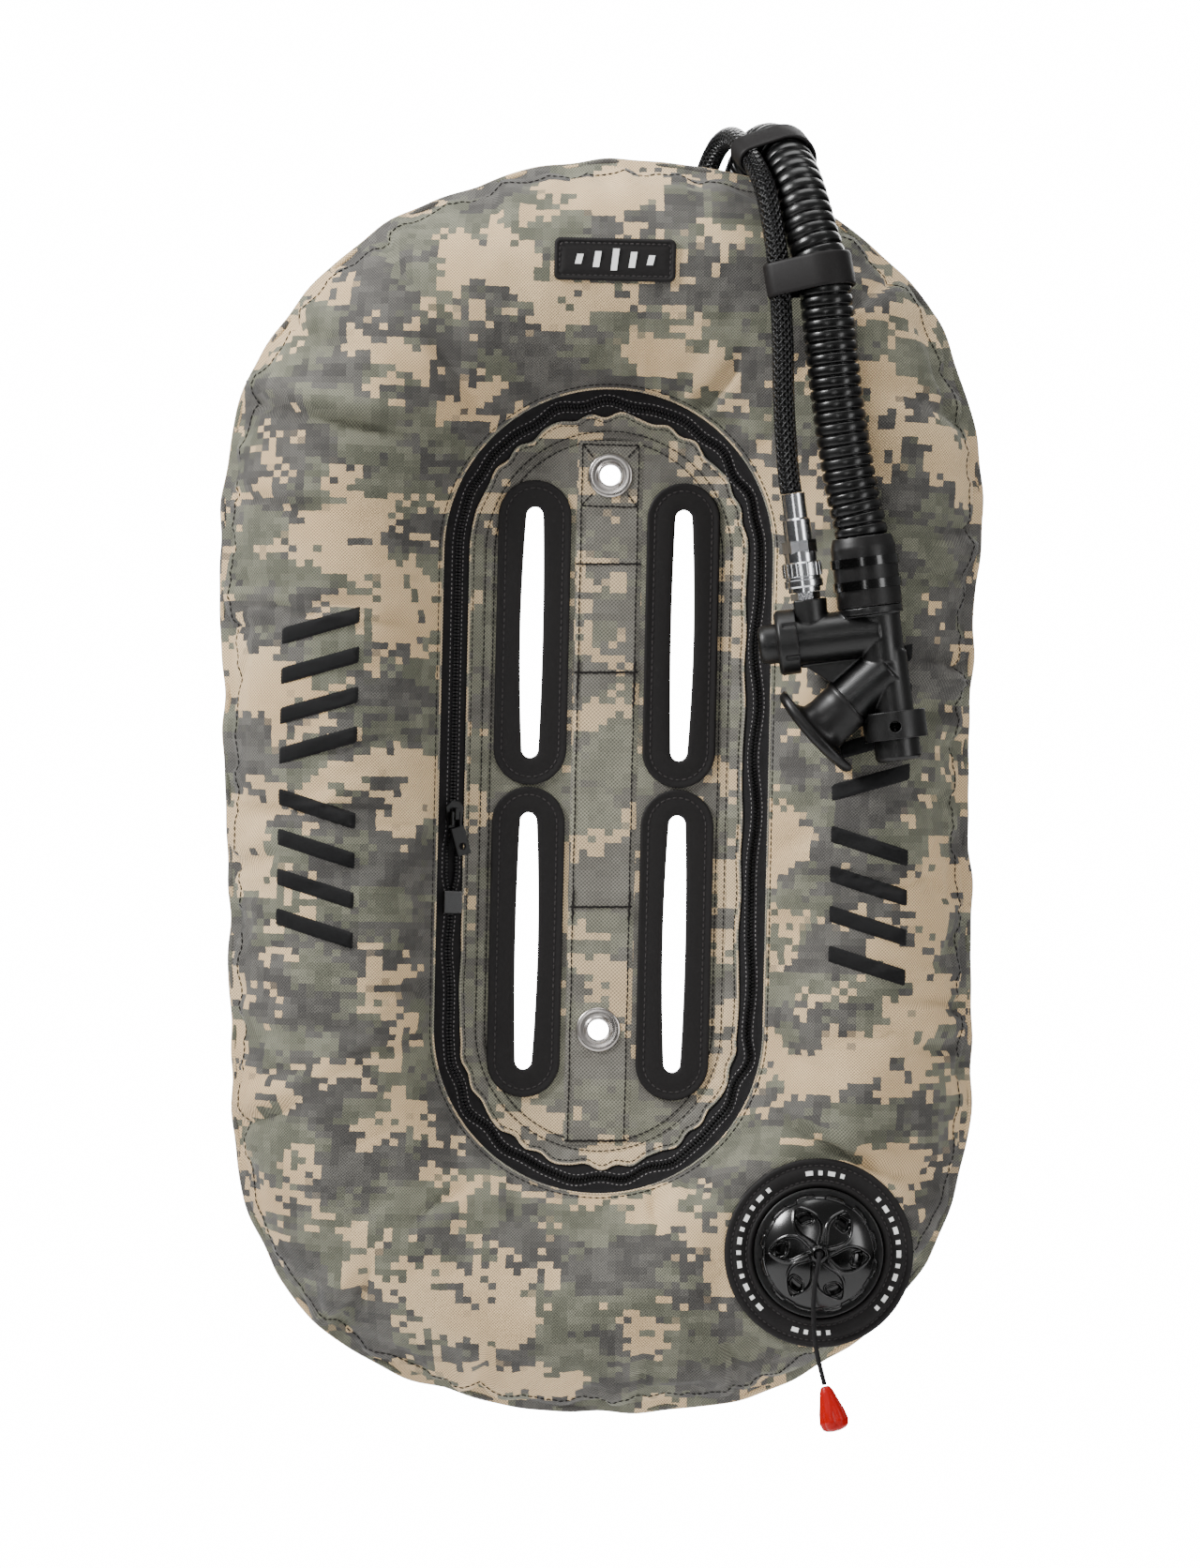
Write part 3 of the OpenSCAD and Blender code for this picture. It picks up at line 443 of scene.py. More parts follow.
def braid_material(name):
    """Braided hose cover: two crossing sets of ribbons, with a painted glint where they cross and painted shade between
    them.
    """
    n = Nodes(name)
    turn, along, _ = n.split(n.attribute("wrap"))
    right = n.wave(n.math("ADD", turn, along), 1)
    left = n.wave(n.math("SUBTRACT", turn, along), 1)
    over = n.math("MAXIMUM", right, left)
    gleam = n.math("POWER", n.span(n.math("MULTIPLY", right, left), 0.0, 1.0), 6.0)
    # Painted shade in the gaps: the colour is darker where neither ribbon lies on top.
    colour = n.mix(n.span(over, -0.1, 1.0), rgb(1, 1, 1), rgb(6, 6, 6))
    # Painted glint: pale grey mixed into the colour where the two ribbons cross.
    colour = n.mix(n.math("MULTIPLY", gleam, 0.45), colour, rgb(120, 120, 124))
    n.set(base_color=colour, roughness=0.30, specular_ior_level=0.22, normal=n.bump(over, 1.0, 0.0008))
    return n.material


def thread_material(name, tint, pitch, rough):
    """Embroidery: parallel threads across each shape."""
    n = Nodes(name)
    height = n.wave(n.split(n.attribute("thread"))[0], pitch)
    # Painted highlight on each thread's crown and painted shade between the threads: the colour is lighter where height
    # is high.
    n.set(base_color=n.mix(n.span(height, -1.0, 1.0), tint, scaled(tint, 2.2, 0.002)), roughness=rough,
          specular_ior_level=0.22, normal=n.bump(height, 0.7, THREAD_BUMP))
    return n.material


CAMO = camo_material("camo_cloth")
CAMO_PANEL = camo_material("camo_panel", THREAD, 1.0, 0.552, 0.18)
CAMO_COARSE = camo_material("camo_webbing", 1.9 * MM, 1.06, 0.565, 0.24)
# The zip hems take a paler copy of the camo: brighter weave (dim 1.1), more tan and a strong fade to the pale wash.
# This is partly the folded piping's own paler colour and partly a painted highlight along the fold.
CAMO_HEM_HIGHLIT = camo_material("camo_hem_painted_highlight", THREAD, 1.1, 0.50, 0.45)
BLADDER_CLOTH = dark_cloth_material("bladder_cloth", rgb(150, 62, 12), 0.8 * MM)
TAPE = dark_cloth_material("zip_tape_cloth", rgb(9, 8, 9), 0.9 * MM)
STITCH = dark_cloth_material("stitch_thread", rgb(15, 12, 11), 0.5 * MM)
STITCH_PALE = dark_cloth_material("worn_stitch_thread", rgb(42, 40, 40), 0.5 * MM)
ZIP_STITCH = dark_cloth_material("zip_stitch_thread", rgb(104, 102, 102), 0.5 * MM)
RUBBER = moulded_material("satin_rubber", rgb(17, 15, 15), 0.60, 0.25, 1500.0, shine=0.22)
RUBBER_SOFT = moulded_material("soft_rubber", rgb(11, 10, 10), 0.42, 0.12, 900.0, shine=0.3)
HOSE_RUBBER = moulded_material("hose_rubber", rgb(4, 4, 4), 0.31, 0.12, 1100.0, spread=0.05, shine=0.36)
PLASTIC = moulded_material("grained_plastic", rgb(6, 6, 6), 0.37, 0.25, 2200.0, shine=0.38)
GLOSS = moulded_material("gloss_plastic", rgb(3, 3, 3), 0.19, 0.02, 700.0, coat=0.05, spread=0.03, shine=0.44)
ZIP_PAINT = moulded_material("painted_zip_metal", rgb(3, 3, 3), 0.33, 0.02, 900.0, spread=0.04, shine=0.22)
RED = moulded_material("red_plastic", (0.33, 0.0002, 0.0001, 1.0), 0.34, 0.01, 900.0, spread=0.03,
                       shine=0.2, dusty=0.05)
CHROME = metal_material("bright_metal", rgb(206, 207, 210), 0.17)
GROMMET_METAL = metal_material("grommet_metal", rgb(172, 167, 163), 0.24)
SPRING = metal_material("spring_metal", rgb(170, 170, 172), 0.25)
BRAID = braid_material("braided_cover")
EMBROIDERY = thread_material("embroidery_thread", rgb(8, 8, 9), 0.5 * MM, 0.7)
PRINT = moulded_material("white_print", rgb(226, 226, 224), 0.55, 0.2, 1500.0, spread=0.05)


# ---------------------------------------------------------------- mesh helpers
def add_mesh(name, points, faces, material, body="wing", smooth=True, fields=None):
    """A piece from points in metres; fields are vector attributes, one row for each point."""
    mesh = bpy.data.meshes.new(name)
    points = np.asarray(points, float)
    mesh.from_pydata(points.tolist(), [], [tuple(int(i) for i in f) for f in faces])
    mesh.validate()
    mesh.materials.append(material)
    for key, values in (fields or {}).items():
        layer = mesh.attributes.new(key, "FLOAT_VECTOR", "POINT")
        layer.data.foreach_set("vector", np.asarray(values, np.float32).ravel())
    for polygon in mesh.polygons:
        polygon.use_smooth = smooth
    obj = bpy.data.objects.new(name, mesh)
    bpy.context.scene.collection.objects.link(obj)
    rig.ride(obj, body)
    return obj


def turns(count):
    """Equal steps round one turn."""
    return np.arange(count) / count * TAU


def unit(v):
    return v / np.maximum(np.linalg.norm(v, axis=1)[:, None], 1e-9)


def read_vectors(items, key):
    values = np.empty(len(items) * 3)
    items.foreach_get(key, values)
    return values.reshape(-1, 3)


def stands_for(obj, slot, *nodes):
    """Says which CAD nodes a piece stands for, and the slot of its material."""
    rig.replaces(obj, *nodes)
    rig.slot(obj, slot)


def grid_faces(rows, cols, wrap_rows=False, wrap_cols=False):
    i = np.arange(rows if wrap_rows else rows - 1)[:, None]
    j = np.arange(cols if wrap_cols else cols - 1)[None, :]
    a = i * cols + j
    b = i * cols + (j + 1) % cols
    c = ((i + 1) % rows) * cols + (j + 1) % cols
    e = ((i + 1) % rows) * cols + j
    return np.stack([a, b, c, e], -1).reshape(-1, 4)


def fix_normals(obj):
    bm = bmesh.new()
    bm.from_mesh(obj.data)
    bmesh.ops.recalc_face_normals(bm, faces=bm.faces)
    bm.to_mesh(obj.data)
    bm.free()
    return obj


def one_material(mesh, material):
    mesh.materials.clear()
    mesh.materials.append(material)
    for polygon in mesh.polygons:
        polygon.material_index = 0


def copied(node, name):
    """A new object with a copy of a CAD node's mesh."""
    obj = bpy.data.objects.new(name, frame["nodes"][node].data.copy())
    bpy.context.scene.collection.objects.link(obj)
    return obj


def applied(obj, modifiers):
    """Adds modifiers, given as (type, settings), and bakes their result into the mesh."""
    for kind, settings in modifiers:
        modifier = obj.modifiers.new(kind, kind)
        for key, value in settings.items():
            setattr(modifier, key, value)
    graph = bpy.context.evaluated_depsgraph_get()
    mesh = bpy.data.meshes.new_from_object(obj.evaluated_get(graph))
    obj.modifiers.clear()
    old = obj.data
    obj.data = mesh
    bpy.data.meshes.remove(old)
    return obj


def softened(node, material, voxel, passes):
    """A moulded copy of a CAD node: its edges get the small radii that a mould gives."""
    obj = copied(node, node + "_moulded")
    applied(obj, [("REMESH", {"mode": "VOXEL", "voxel_size": voxel}),
                  ("SMOOTH", {"factor": 0.5, "iterations": passes})])
    one_material(obj.data, material)
    for polygon in obj.data.polygons:
        polygon.use_smooth = True
    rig.ride(obj, frame["nodes"][node]["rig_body"])
    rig.replaces(obj, node)


def merged(parts):
    """One list of points and faces from many (points, faces)."""
    points, faces, start = [], [], 0
    for p, f in parts:
        points.append(np.asarray(p, float))
        faces.extend([tuple(int(i) + start for i in face) for face in f])
        start += len(p)
    return np.concatenate(points), faces


# ---------------------------------------------------------------- hoses and cords
HOSE_ROUTE = [(60, 60, 237), (61, 59, 256), (64.5, 49, 281), (70, 28, 300), (76, 4, 306), (83.5, -18, 301),
              (91, -37, 285), (98, -49, 262), (104, -54.5, 242), (109, -57, 205), (114, -58, 170),
              (120.5, -58, 135), (125.5, -58, 115), (128.3, -58, 96.2)]
FEED_ROUTE = [(90.5, -58, 131.5), (88.6, -58, 145), (86, -59, 175), (84.5, -58, 210), (82, -55, 242),
              (79, -52.5, 262), (73.5, -46, 286), (64.5, -21, 304), (57.5, 2, 311.5), (50, 24, 306),
              (43, 41, 287), (36, 49, 255), (30, 52, 220), (25, 53, 180), (21, 53, 130), (20, 53, 80),
              (20, 53, 20)]
CORD_ROUTE = [(0, 0, 0), (0, -2.4, -1), (-0.5, -3.6, -5), (-1.8, -3.6, -14), (-2.4, -3.2, -28),
              (-0.6, -2.8, -47), (4, -2.6, -65)]
CORD_START = np.array((113, -58.42, -248.5))
HOSE_R = 13.5
FEED_R = 5.5
CORD_R = 1.2
HOSE_PITCH, HOSE_VALLEY, HOSE_DEPTH = 5.8, 0.5, 1.9
FEED_SIDES, FEED_RIBBONS, FEED_TURN = 24, 9, 34 * MM


def smooth_path(route, step):
    """Points in metres on a smooth curve through the route, step mm apart, and its length."""
    route = np.asarray(route, float) * MM
    dense = []
    last = len(route) - 1
    for i in range(last):
        a, b, c, e = (route[max(0, i - 1)], route[i], route[i + 1], route[min(last, i + 2)])
        for t in np.linspace(0, 1, 24, endpoint=False):
            dense.append(0.5 * (2 * b + (c - a) * t + (2 * a - 5 * b + 4 * c - e) * t * t
                                + (3 * b - a - 3 * c + e) * t ** 3))
    dense.append(route[-1])
    dense = np.array(dense)
    run = np.concatenate([[0], np.cumsum(np.linalg.norm(np.diff(dense, axis=0), axis=1))])
    count = max(2, round(run[-1] / (step * MM)) + 1)
    at = np.linspace(0, run[-1], count)
    return np.stack([np.interp(at, run, dense[:, k]) for k in range(3)], 1), run[-1]


def path_frames(path):
    """Two directions across the path at each of its points."""
    ahead = unit(np.gradient(path, axis=0))
    side = unit(np.cross(ahead, (1.0, 0.0, 0.0)))
    return side, np.cross(ahead, side)


def swept(path, radii, sides):
    """A closed tube: one ring for each path point, with a radius for each ring."""
    side, up = path_frames(path)
    turn = turns(sides)
    rings = path[:, None, :] + radii[:, None, None] * (
        np.cos(turn)[None, :, None] * side[:, None, :] + np.sin(turn)[None, :, None] * up[:, None, :])
    faces = [tuple(f) for f in grid_faces(len(path), sides, wrap_cols=True)]
    faces.append(tuple(range(sides))[::-1])
    faces.append(tuple(range((len(path) - 1) * sides, len(path) * sides)))
    return rings.reshape(-1, 3), faces


def make_corrugated_hose():
    path, length = smooth_path(HOSE_ROUTE, HOSE_PITCH / 13)
    run = np.linspace(0, length / MM, len(path))
    off = np.abs((run / HOSE_PITCH) % 1.0 - 0.5) * HOSE_PITCH
    shoulder = np.clip((off - HOSE_VALLEY) / (HOSE_PITCH / 2 - HOSE_VALLEY), 0, 1) ** 0.13
    radii = (HOSE_R - 0.1 - HOSE_DEPTH * (1 - shoulder)) * MM
    points, faces = swept(path, radii, 36)
    hose = fix_normals(add_mesh("corrugated_hose_skin", points, faces, HOSE_RUBBER))
    stands_for(hose, "hose_rubber", "corrugated_hose")
    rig.cord(hose, exit=path[0], length=length, diameter=2 * HOSE_R * MM, far_end="object", stiffness="stiff",
            lay="hanging", path=path[::4])


def make_feed_hose():
    path, length = smooth_path(FEED_ROUTE, 2.5)
    points, faces = swept(path, np.full(len(path), (FEED_R - 0.05) * MM), FEED_SIDES)
    hose = add_mesh("feed_hose_braid", points, faces, BRAID)
    # How many ribbons round and along the hose each face corner is, with no jump at the last side.
    mesh = hose.data
    layer = mesh.attributes.new("wrap", "FLOAT_VECTOR", "CORNER")
    loops = np.empty(len(mesh.loops), np.int64)
    mesh.loops.foreach_get("vertex_index", loops)
    ring, spot = loops // FEED_SIDES, loops % FEED_SIDES
    has_last = np.zeros(len(mesh.polygons), bool)
    owner = np.repeat(np.arange(len(mesh.polygons)), [p.loop_total for p in mesh.polygons])
    np.logical_or.at(has_last, owner, spot == FEED_SIDES - 1)
    seam = (spot == 0) & has_last[owner]
    turn = (spot + np.where(seam, FEED_SIDES, 0)) / FEED_SIDES * FEED_RIBBONS
    along = ring * (length / (len(path) - 1)) / FEED_TURN * FEED_RIBBONS
    layer.data.foreach_set("vector", np.stack([turn, along, 0 * turn], 1).astype(np.float32).ravel())
    stands_for(hose, "braided_hose", "feed_hose")
    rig.cord(hose, exit=path[0], length=length, diameter=2 * FEED_R * MM, far_end="fitting",
            stiffness="medium", lay="hanging", path=path[::2],
            with_pieces=["feed_end_fitting", "feed_end_oring"])


def make_pull_cord():
    path, length = smooth_path([CORD_START + p for p in CORD_ROUTE], 1.0)
    run = np.arange(len(path))
    points, faces = swept(path, (CORD_R + 0.06 * np.sin(run * 2.1)) * MM, 14)
    cord = add_mesh("pull_cord_line", points, faces, TAPE, "dump_valve")
    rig.replaces(cord, "pull_cord")
    return cord, path, length


KNOB_L = 23.0
KNOB_LEAN = math.radians(164)
# Places along the knob, as shares of its length, and its radius there.
KNOB_PLACES = [0, 0.03, 0.13, 0.35, 0.57, 0.78, 0.92, 0.98, 1.0]
KNOB_RADII = [1.6, 2.5, 3.5, 4.9, 6.5, 7.4, 6.6, 4.6, 2.2]


def make_pull_knob(end):
    """A teardrop with six flutes, hung from the cord with a slight lean."""
    rows, sides = 40, 96
    t = np.linspace(0, 1, rows)
    outline = np.interp(t, KNOB_PLACES, KNOB_RADII)
    turn = turns(sides)
    flute = np.abs(np.cos(3 * turn + 0.5)) ** 0.8
    depth = np.clip((t - 0.30) / 0.35, 0, 1)
    radius = outline[:, None] * (1 - 0.15 * depth[:, None] * (1 - flute[None, :]))
    x = radius * np.cos(turn)[None, :]
    y = radius * np.sin(turn)[None, :]
    z = np.repeat((t * KNOB_L)[:, None], sides, 1)
    cos, sin = math.cos(KNOB_LEAN), math.sin(KNOB_LEAN)
    local = np.stack([x * cos + z * sin, y, z * cos - x * sin], -1)
    start = np.asarray(end) / MM + (0.2, 0, -0.8)
    points = ((local + start) * MM).reshape(-1, 3)
    faces = [tuple(f) for f in grid_faces(rows, sides, wrap_cols=True)]
    faces.append(tuple(range(sides)))
    faces.append(tuple(range((rows - 1) * sides, rows * sides)))
    knob = fix_normals(add_mesh("pull_knob_fluted", points, faces, RED, "dump_valve"))
    knob.data.set_sharp_from_angle(angle=math.radians(50))
    stands_for(knob, "red_plastic", "pull_knob")
    return knob


make_corrugated_hose()
make_feed_hose()
pull_cord, cord_path, cord_length = make_pull_cord()
pull_knob = make_pull_knob(cord_path[-1])
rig.cord(pull_cord, exit=cord_path[0], length=cord_length, diameter=2 * CORD_R * MM, far_end="object",
        stiffness="medium", lay="hanging", path=cord_path[::2], with_pieces=[pull_knob])


# ---------------------------------------------------------------- the wing's shape, as in the CAD model (mm)
WING_W, HEM_W = 380.0, 374.0
SHOULDER_RISE, HEM_DROP = 190.0, 187.0
UPPER_CENTRE, LOWER_CENTRE = 110.0, -146.0
PANEL_R, PANEL_UP, PANEL_DOWN = 63.0, 100.0, 139.0
LIP_W = 5.0
ZIP_REACH, ZIP_SLOPE = 20.0, math.tan(math.radians(22))
SEAM_H, LIP_H = 2.4, 1.5
DEPTH = 38.0
VALVE_AT = np.array((113.0, -248.5))
ELBOW_AT = np.array((60.0, 195.0))
VALVE_FLAT_H = 36.0


def ease(v):
    v = np.clip(v, 0, 1)
    return v * v * (3 - 2 * v)


def stations(arc, side):
    """Angle and level of each place round the wing, from the wearer's left, over the top and round."""
    angle = np.concatenate([np.linspace(0, 180, arc, endpoint=False), np.full(side, 180.0),
                            np.linspace(180, 360, arc, endpoint=False), np.full(side, 360.0)])
    level = np.concatenate([np.ones(arc), np.linspace(1, 0, side, endpoint=False),
                            np.zeros(arc), np.linspace(0, 1, side, endpoint=False)])
    return np.radians(angle), level


def super_radius(angle, half_x, half_z, power):
    return (np.abs(np.cos(angle) / half_x) ** power + np.abs(np.sin(angle) / half_z) ** power) ** (-1 / power)


# How far the filled cloth stands out past the cut outline, by bearing in degrees.
SWELL = [(-70, 1.0), (-50, 3.6), (-30, 0.6), (-6, -3.9), (8, -5.2), (26, -3.2), (44, 1.5), (56, 5.4),
         (68, 3.4), (88, -0.4), (104, -3.4), (116, 0.4), (134, 6.4), (158, 6.2), (172, 4.4), (190, 2.0),
         (222, -2.0), (242, 3.4), (257, -1.2), (272, 0.0)]


class Ring:
    """Places on the wing, found by station and distance from the panel seam, in mm."""

    def __init__(self, arc, side):
        self.angle, self.level = stations(arc, side)
        self.count = len(self.angle)
        self.phase = turns(self.count)
        cos, sin = np.cos(self.angle), np.sin(self.angle)
        mid = self.level * (PANEL_UP + PANEL_DOWN) - PANEL_DOWN
        self.inner = np.stack([PANEL_R * cos, mid + PANEL_R * sin], 1)
        hem = super_radius(self.angle, HEM_W / 2, HEM_DROP, 2.4)
        shoulder = super_radius(self.angle, WING_W / 2, SHOULDER_RISE, 2.1)
        radius = (1 - self.level) * hem + self.level * shoulder
        centre = self.level * (UPPER_CENTRE - LOWER_CENTRE) + LOWER_CENTRE
        self.outer = np.stack([radius * cos, centre + radius * sin], 1)
        self.length = np.linalg.norm(self.outer - self.inner, axis=1)
        self.out = (self.outer - self.inner) / self.length[:, None]
        bearing = np.degrees(np.arctan2(self.outer[:, 1], self.outer[:, 0]))
        at, swell = np.array(SWELL).T
        self.length = self.length + np.interp(bearing, at, swell, period=360)
        self.outer = self.inner + self.out * self.length[:, None]
        self.span = self.length - LIP_W

    def across(self, d):
        return self.inner[:, None, :] + self.out[:, None, :] * d[..., None]

    def front(self, d):
        """Height of the filled shell in front of the centre plane."""
        span = self.span[:, None]
        share = np.clip((d - ZIP_REACH) / (span - ZIP_REACH), 0, 1)
        top = SEAM_H + ZIP_REACH * ZIP_SLOPE
        crown = top + (LIP_H - top) * share + (DEPTH - (top + LIP_H) / 2) * np.sin(np.pi * share) ** 0.72
        near = ease((47 + 24 - np.linalg.norm(self.across(d) - VALVE_AT, axis=-1)) / 24)
        edge = np.sqrt(np.clip(1 - np.clip((share - 0.93) / 0.07, 0, 1) ** 2, 0, 1))
        flat = LIP_H + (VALVE_FLAT_H - LIP_H) * edge
        return np.where(d < ZIP_REACH, SEAM_H + d * ZIP_SLOPE, crown + (flat - crown) * near)

    def back(self, d):
        span = self.span[:, None]
        share = np.clip(d / span, 0, 1)
        swell = (DEPTH - (SEAM_H + LIP_H) / 2) * np.sin(np.pi * share) ** 0.72
        crown = SEAM_H + (LIP_H - SEAM_H) * share + swell
        near = ease((26 + 24 - np.linalg.norm(self.across(d) - ELBOW_AT, axis=-1)) / 24)
        return crown + (DEPTH - crown) * near


def waves(phase, terms):
    """A sum of sines round the wing, so that it closes on itself; terms are (cycles, size, shift)."""
    return sum(size * np.sin(cycles * phase + shift) for cycles, size, shift in terms)


def arc_lengths(points):
    """Run along each row of points, from its first one."""
    steps = np.linalg.norm(np.diff(points, axis=1), axis=-1)
    return np.concatenate([np.zeros((len(points), 1)), np.cumsum(steps, 1)], 1)


SKIN = 1.2
SHELL_RINGS, ZIP_RINGS = (150, 66), (150, 70)
OUTLINE_WAVES = [(17, 0.45, 0.3), (29, 0.45, 1.9), (43, 0.35, 4.1), (61, 0.22, 2.6)]
MOVE_CAP = 6.5 * MM
SETTLE_STEPS = 20


def joined_shares(*parts):
    """Shares from 0 to 1: parts are (from, to, count), each without its end but the last."""
    last = len(parts) - 1
    return np.concatenate([np.linspace(*part, endpoint=k == last) for k, part in enumerate(parts)])


def make_shell():
    """The whole shell as one band: from the zip over the front to the seam, and back to the panel."""
    ring = Ring(*SHELL_RINGS)
    shares = joined_shares((0, 0.12, 6), (0.12, 0.86, 15), (0.86, 1, 8))
    d_front = ZIP_REACH + (ring.span[:, None] - ZIP_REACH) * shares[None, :]
    front = ring.across(d_front)
    front_y = -(ring.front(d_front) + SKIN)
    lip = ring.outer[:, None, :] + 0 * front[:, :1]
    shares_back = joined_shares((0, 0.14, 7), (0.14, 0.9, 12), (0.9, 1, 4))[::-1]
    d_back = ring.span[:, None] * shares_back[None, :]
    back = ring.across(d_back)
    back_y = ring.back(d_back) + SKIN
    lip_y = np.full((ring.count, 1), LIP_H * 0.9)
    plane = np.concatenate([front, lip, lip, back], 1)
    depth = np.concatenate([front_y, -lip_y, lip_y, back_y], 1)
    points = np.stack([plane[..., 0], depth, plane[..., 1]], -1)
    seam_cols = slice(front.shape[1] - 1, front.shape[1] + 3)
    # The outline pulls in between its puckers.
    wobble = waves(ring.phase, OUTLINE_WAVES) - 0.7
    pull = np.zeros(points.shape[:2])
    pull[:, front.shape[1] - 3:front.shape[1] + 5] = [0.3, 0.65, 1, 1, 1, 1, 0.65, 0.3]
    points[..., 0] += (ring.out[:, 0] * wobble)[:, None] * pull
    points[..., 2] += (ring.out[:, 1] * wobble)[:, None] * pull
    flat_run = arc_lengths(points)
    cols = front.shape[1]
    run_front = flat_run[:, :cols + 1] + ZIP_REACH
    flat_front = ring.inner[:, None, :] + ring.out[:, None, :] * run_front[..., None]
    run_back = flat_run[:, -1:] - flat_run[:, cols + 1:]
    flat_back = ring.inner[:, None, :] + ring.out[:, None, :] * run_back[..., None]
    flat_back = flat_back * (-1, 1) + (917, 341)
    cloth = np.concatenate([flat_front, flat_back], 1) * MM
    cloth = np.concatenate([cloth, 0 * cloth[..., :1]], -1).reshape(-1, 3)
    pinned = np.zeros(points.shape[:2])
    pinned[:, :2] = 1
    pinned[:, -1:] = 1
    pinned[:, seam_cols] = 1
    by_valve = np.linalg.norm(plane - VALVE_AT, axis=-1)
    by_elbow = np.linalg.norm(plane - ELBOW_AT, axis=-1)
    pinned[:, :cols] = np.maximum(pinned[:, :cols], by_valve[:, :cols] < 49)
    pinned[:, cols + 2:] = np.maximum(pinned[:, cols + 2:], by_elbow[:, cols + 2:] < 24)
    start = points.reshape(-1, 3) * MM
    shell = add_mesh("shell_cloth", start, grid_faces(*points.shape[:2], wrap_rows=True), CAMO,
                     fields={"cloth": cloth})
    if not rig.quick():
        settle_cloth(shell, start, pinned.ravel())
    free = (1 - pinned).ravel()
    from_panel = np.linalg.norm(plane - ring.inner[:, None, :], axis=-1)
    to_seam = np.minimum(np.abs(ring.length[:, None] - from_panel), 60)
    seam_near = np.exp(-(to_seam / 20) ** 2).ravel()
    ripple_cloth(shell, free, seam_near, np.repeat(ring.phase, points.shape[1]))
    stands_for(shell, "shell_fabric", "shell_front", "shell_back")
    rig.padded(shell, fill=0.7)
    return shell


def settle_cloth(obj, start, pinned):
    """Blows the cloth up from inside with a little spare cloth, so that it puckers along its seams."""
    group = obj.vertex_groups.new(name="pinned")
    group.add([int(i) for i in np.flatnonzero(pinned)], 1.0, "REPLACE")
    cloth = obj.modifiers.new("cloth", "CLOTH")
    settings = cloth.settings
    settings.quality = 5
    settings.mass = 0.25
    settings.tension_stiffness = 18
    settings.compression_stiffness = 14
    settings.shear_stiffness = 6
    settings.bending_stiffness = 0.25
    settings.air_damping = 2.0
    settings.vertex_group_mass = "pinned"
    settings.shrink_min = -0.035
    settings.use_pressure = True
    settings.uniform_pressure_force = 3.0
    settings.effector_weights.gravity = 0.0
    cloth.collision_settings.use_collision = False
    cloth.point_cache.frame_start = 1
    cloth.point_cache.frame_end = 24
    scene = bpy.context.scene
    for step in range(1, SETTLE_STEPS + 1):
        scene.frame_set(step)
    graph = bpy.context.evaluated_depsgraph_get()
    done = obj.evaluated_get(graph).to_mesh()
    after = read_vectors(done.vertices, "co")
    obj.modifiers.clear()
    obj.vertex_groups.clear()
    move = after - start
    size = np.linalg.norm(move, axis=1)
    keep = MOVE_CAP * np.tanh(size / MOVE_CAP) / np.maximum(size, 1e-9)
    obj.data.vertices.foreach_set("co", (start + move * keep[:, None]).ravel())
    obj.data.update()
    scene.frame_set(1)


# Folds in the cover: where each one starts and ends (x, z), its depth and its width, in mm.
FRONT_FOLDS = [
    ((-182, 173), (-84, 157), 3.0, 5.5), ((-186, 126), (-136, 118), 2.0, 5.0),
    ((-122, 268), (-92, 218), 2.0, 5.5), ((-64, 296), (-54, 256), 1.8, 5.0),
    ((-164, 214), (-120, 196), 1.8, 6.0), ((-190, 60), (-160, 62), 1.6, 5.0),
    ((190, 42), (146, 51), 2.8, 4.5), ((176, 170), (130, 188), 2.2, 6.5),
    ((188, 118), (150, 100), 1.9, 6.0), ((140, 240), (112, 214), 2.0, 5.5),
    ((100, -186), (166, -213), 2.6, 4.0), ((186, -128), (146, -120), 2.0, 5.0),
    ((-192, -62), (-156, -50), 1.8, 5.5), ((-186, -192), (-138, -172), 2.2, 6.0),
    ((-134, -298), (-110, -254), 2.6, 5.0), ((-62, -334), (-50, -286), 2.0, 5.5),
    ((20, -336), (26, -290), 1.8, 5.5), ((74, -324), (60, -282), 2.0, 5.0),
    ((-72, 176), (-104, 214), 1.5, 5.0), ((46, 176), (66, 208), 1.5, 5.0),
    ((-66, -222), (-96, -244), 1.6, 5.0), ((30, -210), (38, -252), 1.6, 5.5),
    ((82, 60), (112, 70), 1.4, 5.0), ((-84, -120), (-116, -128), 1.4, 5.5)]
BACK_FOLDS = [
    ((-180, 170), (-110, 150), 2.6, 6.0), ((180, 150), (120, 130), 2.4, 6.0),
    ((-120, 262), (-80, 200), 2.2, 6.0), ((0, 300), (0, 240), 2.0, 6.0),
    ((-188, 20), (-130, 24), 2.0, 6.0), ((188, -10), (130, -20), 2.2, 6.0),
    ((-186, -160), (-120, -150), 2.4, 6.0), ((184, -180), (120, -160), 2.4, 6.0),
    ((-100, -310), (-70, -250), 2.4, 6.0), ((90, -316), (60, -250), 2.4, 6.0),
    ((0, -334), (4, -280), 2.0, 6.0)]


def fold_lift(x, z, folds):
    """Height of the folds over the cover: a crease with a soft roll beside it."""
    lift = np.zeros_like(x)
    for (x0, z0), (x1, z1), depth, width in folds:
        run = math.hypot(x1 - x0, z1 - z0)
        ax, az = (x1 - x0) / run, (z1 - z0) / run
        t = ((x - x0) * ax + (z - z0) * az) / run
        bow = 3.0 * np.sin(np.pi * np.clip(t, 0, 1))
        u = (x - x0) * -az + (z - z0) * ax + bow
        fade = ease((t + 0.15) / 0.2) * ease((1.0 - t) / 0.5)
        roll = 0.75 * np.exp(-((u - 1.7 * width) / (1.5 * width)) ** 2)
        lift += fade * depth * (roll - np.exp(-(u / (0.62 * width)) ** 2))
    return lift


